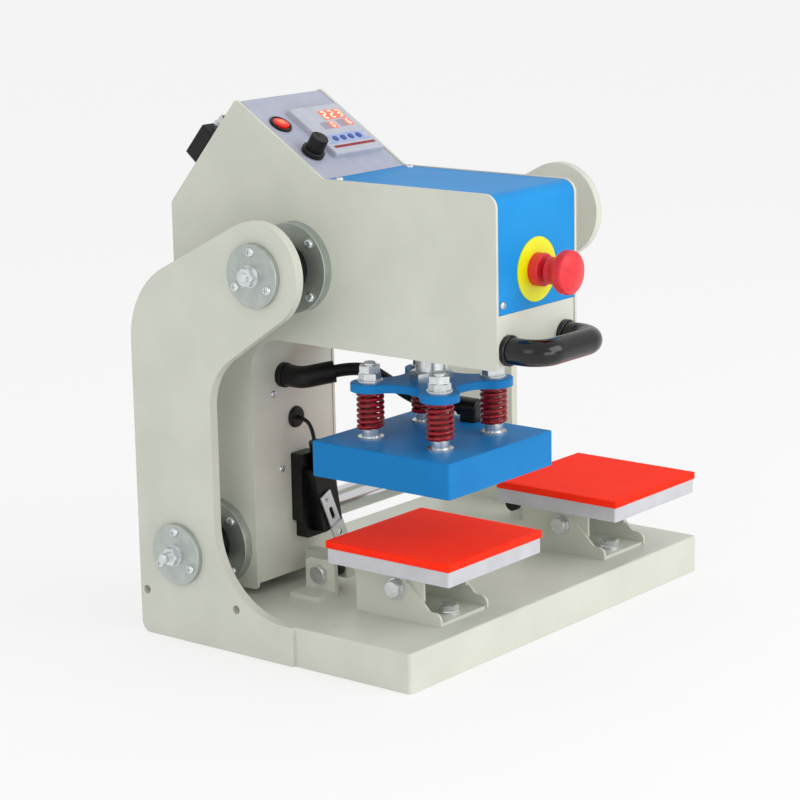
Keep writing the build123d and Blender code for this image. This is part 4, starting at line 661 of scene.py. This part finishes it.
def smooth_line(name, points):
    """NURBS curve through space with these control points."""
    data = bpy.data.curves.new(name, "CURVE")
    data.dimensions = "3D"
    data.resolution_u = 16
    spline = data.splines.new("NURBS")
    spline.points.add(len(points) - 1)
    for point, place in zip(spline.points, points):
        point.co = (*place, 1)
    spline.order_u = 3
    spline.use_endpoint_u = True
    curve = bpy.data.objects.new(name, data)
    bpy.context.scene.collection.objects.link(curve)
    return curve


def line_points(curve):
    """Points read along the curve's own line."""
    bpy.context.view_layer.update()
    mesh = bpy.data.meshes.new_from_object(curve)
    points = [v.co.copy() for v in mesh.vertices]
    bpy.data.meshes.remove(mesh)
    return points


def cable(name, points, width):
    """Rubber mesh tube along a smooth line, its path and its length."""
    curve = smooth_line(name, points)
    path = line_points(curve)
    length = sum((b - a).length for a, b in zip(path, path[1:]))
    curve.data.bevel_depth = width / 2
    curve.data.bevel_resolution = 6
    curve.data.use_fill_caps = True
    pick([curve])
    bpy.ops.object.convert(target="MESH")
    tube = bpy.context.object
    tube.data.materials.clear()
    tube.data.materials.append(black_rubber)
    bpy.ops.object.shade_smooth_by_angle(angle=CABLE_SMOOTH_ANGLE)
    return tube, path, length


heater_tube, heater_path, heater_length = cable("heater_cable_tube", HEATER_CABLE_POINTS, HEATER_CABLE_WIDTH)
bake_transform(heater_tube)
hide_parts("heater_cable")
lead_tube, lead_path, lead_length = cable("switch_lead", SWITCH_LEAD_POINTS, SWITCH_LEAD_WIDTH)
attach(lead_tube, "carriage")
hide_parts("switch_cable")
print("cables", round(heater_length / MM, 1), round(lead_length / MM, 1), "mm")

# %% [markdown]
# ## Pressure springs
# Four springs share the press force. Each is wound from a round wire: five and a half open turns, and at
# each end three quarters of a turn more, part of which lies flat on its seat. When the heat block meets a
# blank, the spider goes on for five millimetres and the springs shorten by that much.

# %% Springs
SPRING_TURNS = 5.5
END_TURNS = 0.75
SPRING_MEAN = 11.5 * MM
WIRE = 2.1 * MM
SPRING_SEAT = 225.5 * MM
SPRING_LENGTH = 37.5 * MM
STUD_STEP = 84 * MM
PRESS_AXIS = (-129 * MM, -108.5 * MM)
STEPS = 28


def spring_height(turn):
    """Height of the wire's middle: flat at both ends, steady between."""
    low, high = SPRING_SEAT + WIRE, SPRING_SEAT + SPRING_LENGTH - WIRE
    share = min(max((turn - END_TURNS / 2) / (SPRING_TURNS + END_TURNS), 0), 1)
    return low + (high - low) * share


def spring_line(centre):
    """Wire of one spring as a curve with a round section."""
    turns = SPRING_TURNS + 2 * END_TURNS
    count = int(turns * STEPS)
    data = bpy.data.curves.new("spring", "CURVE")
    data.dimensions = "3D"
    data.bevel_depth = WIRE
    data.bevel_resolution = 3
    data.use_fill_caps = True
    wire = data.splines.new("POLY")
    wire.points.add(count - 1)
    for i, point in enumerate(wire.points):
        turn = turns * i / (count - 1)
        angle = 2 * math.pi * turn
        x = centre[0] + SPRING_MEAN * math.cos(angle)
        y = centre[1] + SPRING_MEAN * math.sin(angle)
        point.co = (x, y, spring_height(turn), 1)
    spring = bpy.data.objects.new("spring", data)
    bpy.context.scene.collection.objects.link(spring)
    return spring


corners = [(sx * STUD_STEP / 2, sy * STUD_STEP / 2) for sx in (-1, 1) for sy in (-1, 1)]
wires = [spring_line((PRESS_AXIS[0] + x, PRESS_AXIS[1] + y)) for x, y in corners]
pick(wires)
bpy.ops.object.convert(target="MESH")
springs = joined("pressure_spring_set", wires)
set_in(springs, Matrix.Identity(4), "heater", spring_paint)
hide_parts("pressure_springs")
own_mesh(springs)
print("springs", len(wires), "faces", len(springs.data.polygons))

# %% [markdown]
# ## Floor and room
# The press stands on a pale floor in a white room. The floor and the room look white to the camera, the
# floor also in reflections, and it keeps a faint shadow under the tray.

# %% Floor and room
FLOOR_SIZE = 30.0
FLOOR_DROP = 0.5 * MM
FLOOR_SHADE = 0.35
ROOM_LIGHT = 0.8
WHITE = linear("FFFFFF")


def studio_floor():
    """Paint that glows white where it is seen and takes a share of the shade."""
    floor_paint, tree = material("white_studio_floor")
    diffuse = add(tree, "BsdfDiffuse", Color=linear("F4F4F4"))
    glow = add(tree, "Emission", Color=WHITE, Strength=1.0)
    rays = add(tree, "LightPath").outputs
    seen = add(tree, "Math", {0: rays["Is Camera Ray"], 1: rays["Is Glossy Ray"]}, operation="ADD")
    share = add(tree, "Math", {0: seen.outputs[0]}, operation="MULTIPLY")
    share.inputs[1].default_value = 1 - FLOOR_SHADE
    share.use_clamp = True
    finish(tree, add(tree, "MixShader", {0: share.outputs[0], 1: diffuse.outputs[0], 2: glow.outputs[0]}))
    return floor_paint


bpy.ops.object.select_all(action="DESELECT")
bpy.ops.mesh.primitive_plane_add(size=FLOOR_SIZE, location=(0, 0, -FLOOR_DROP))
floor = bpy.context.object
floor.name = "floor"
floor.data.materials.append(studio_floor())

room = bpy.data.worlds.new("white_room")
bpy.context.scene.world = room
room.use_nodes = True
room_tree = room.node_tree
room_tree.nodes.clear()
rays = add(room_tree, "LightPath").outputs
seen = add(room_tree, "Math", {0: rays["Is Camera Ray"], 1: rays["Is Transmission Ray"]}, operation="MAXIMUM")
strength = add(room_tree, "MapRange", {"Value": seen.outputs[0]}, To_Min=ROOM_LIGHT, To_Max=1.0)
ambient = add(room_tree, "Background", {"Strength": strength.outputs[0]}, Color=WHITE)
add(room_tree, "OutputWorld", {"Surface": ambient.outputs[0]})
print("floor", FLOOR_SIZE, "m, room light", ROOM_LIGHT)

# %% [markdown]
# ## Lamps
# Three large soft lamps add to the room's even light: one high on the right in front, a weak one low in
# front that opens the shade under the head, and one on the left. Each points at the middle of the press.

# %% Lamps
LAMP_AIM = Vector((0, 0, 0.25))


def soft_lamp(name, place, size, watts):
    """Rectangular lamp at a place, turned to the press."""
    lamp_data = bpy.data.lights.new(name, "AREA")
    lamp_data.shape = "RECTANGLE"
    lamp_data.size, lamp_data.size_y = size
    lamp_data.energy = watts
    lamp = bpy.data.objects.new(name, lamp_data)
    bpy.context.scene.collection.objects.link(lamp)
    turn = (LAMP_AIM - Vector(place)).to_track_quat("-Z", "Y").to_matrix().to_4x4()
    lamp.matrix_world = Matrix.Translation(Vector(place)) @ turn


soft_lamp("key_softbox", place=(0.7, -2.4, 1.5), size=(2.0, 1.6), watts=26)
soft_lamp("low_fill", place=(-0.5, -2.4, 0.45), size=(1.4, 0.7), watts=8)
soft_lamp("side_softbox", place=(-2.4, -0.6, 1.3), size=(1.2, 1.2), watts=6)
bpy.context.scene.view_settings.view_transform = "Standard"
print("three lamps set")
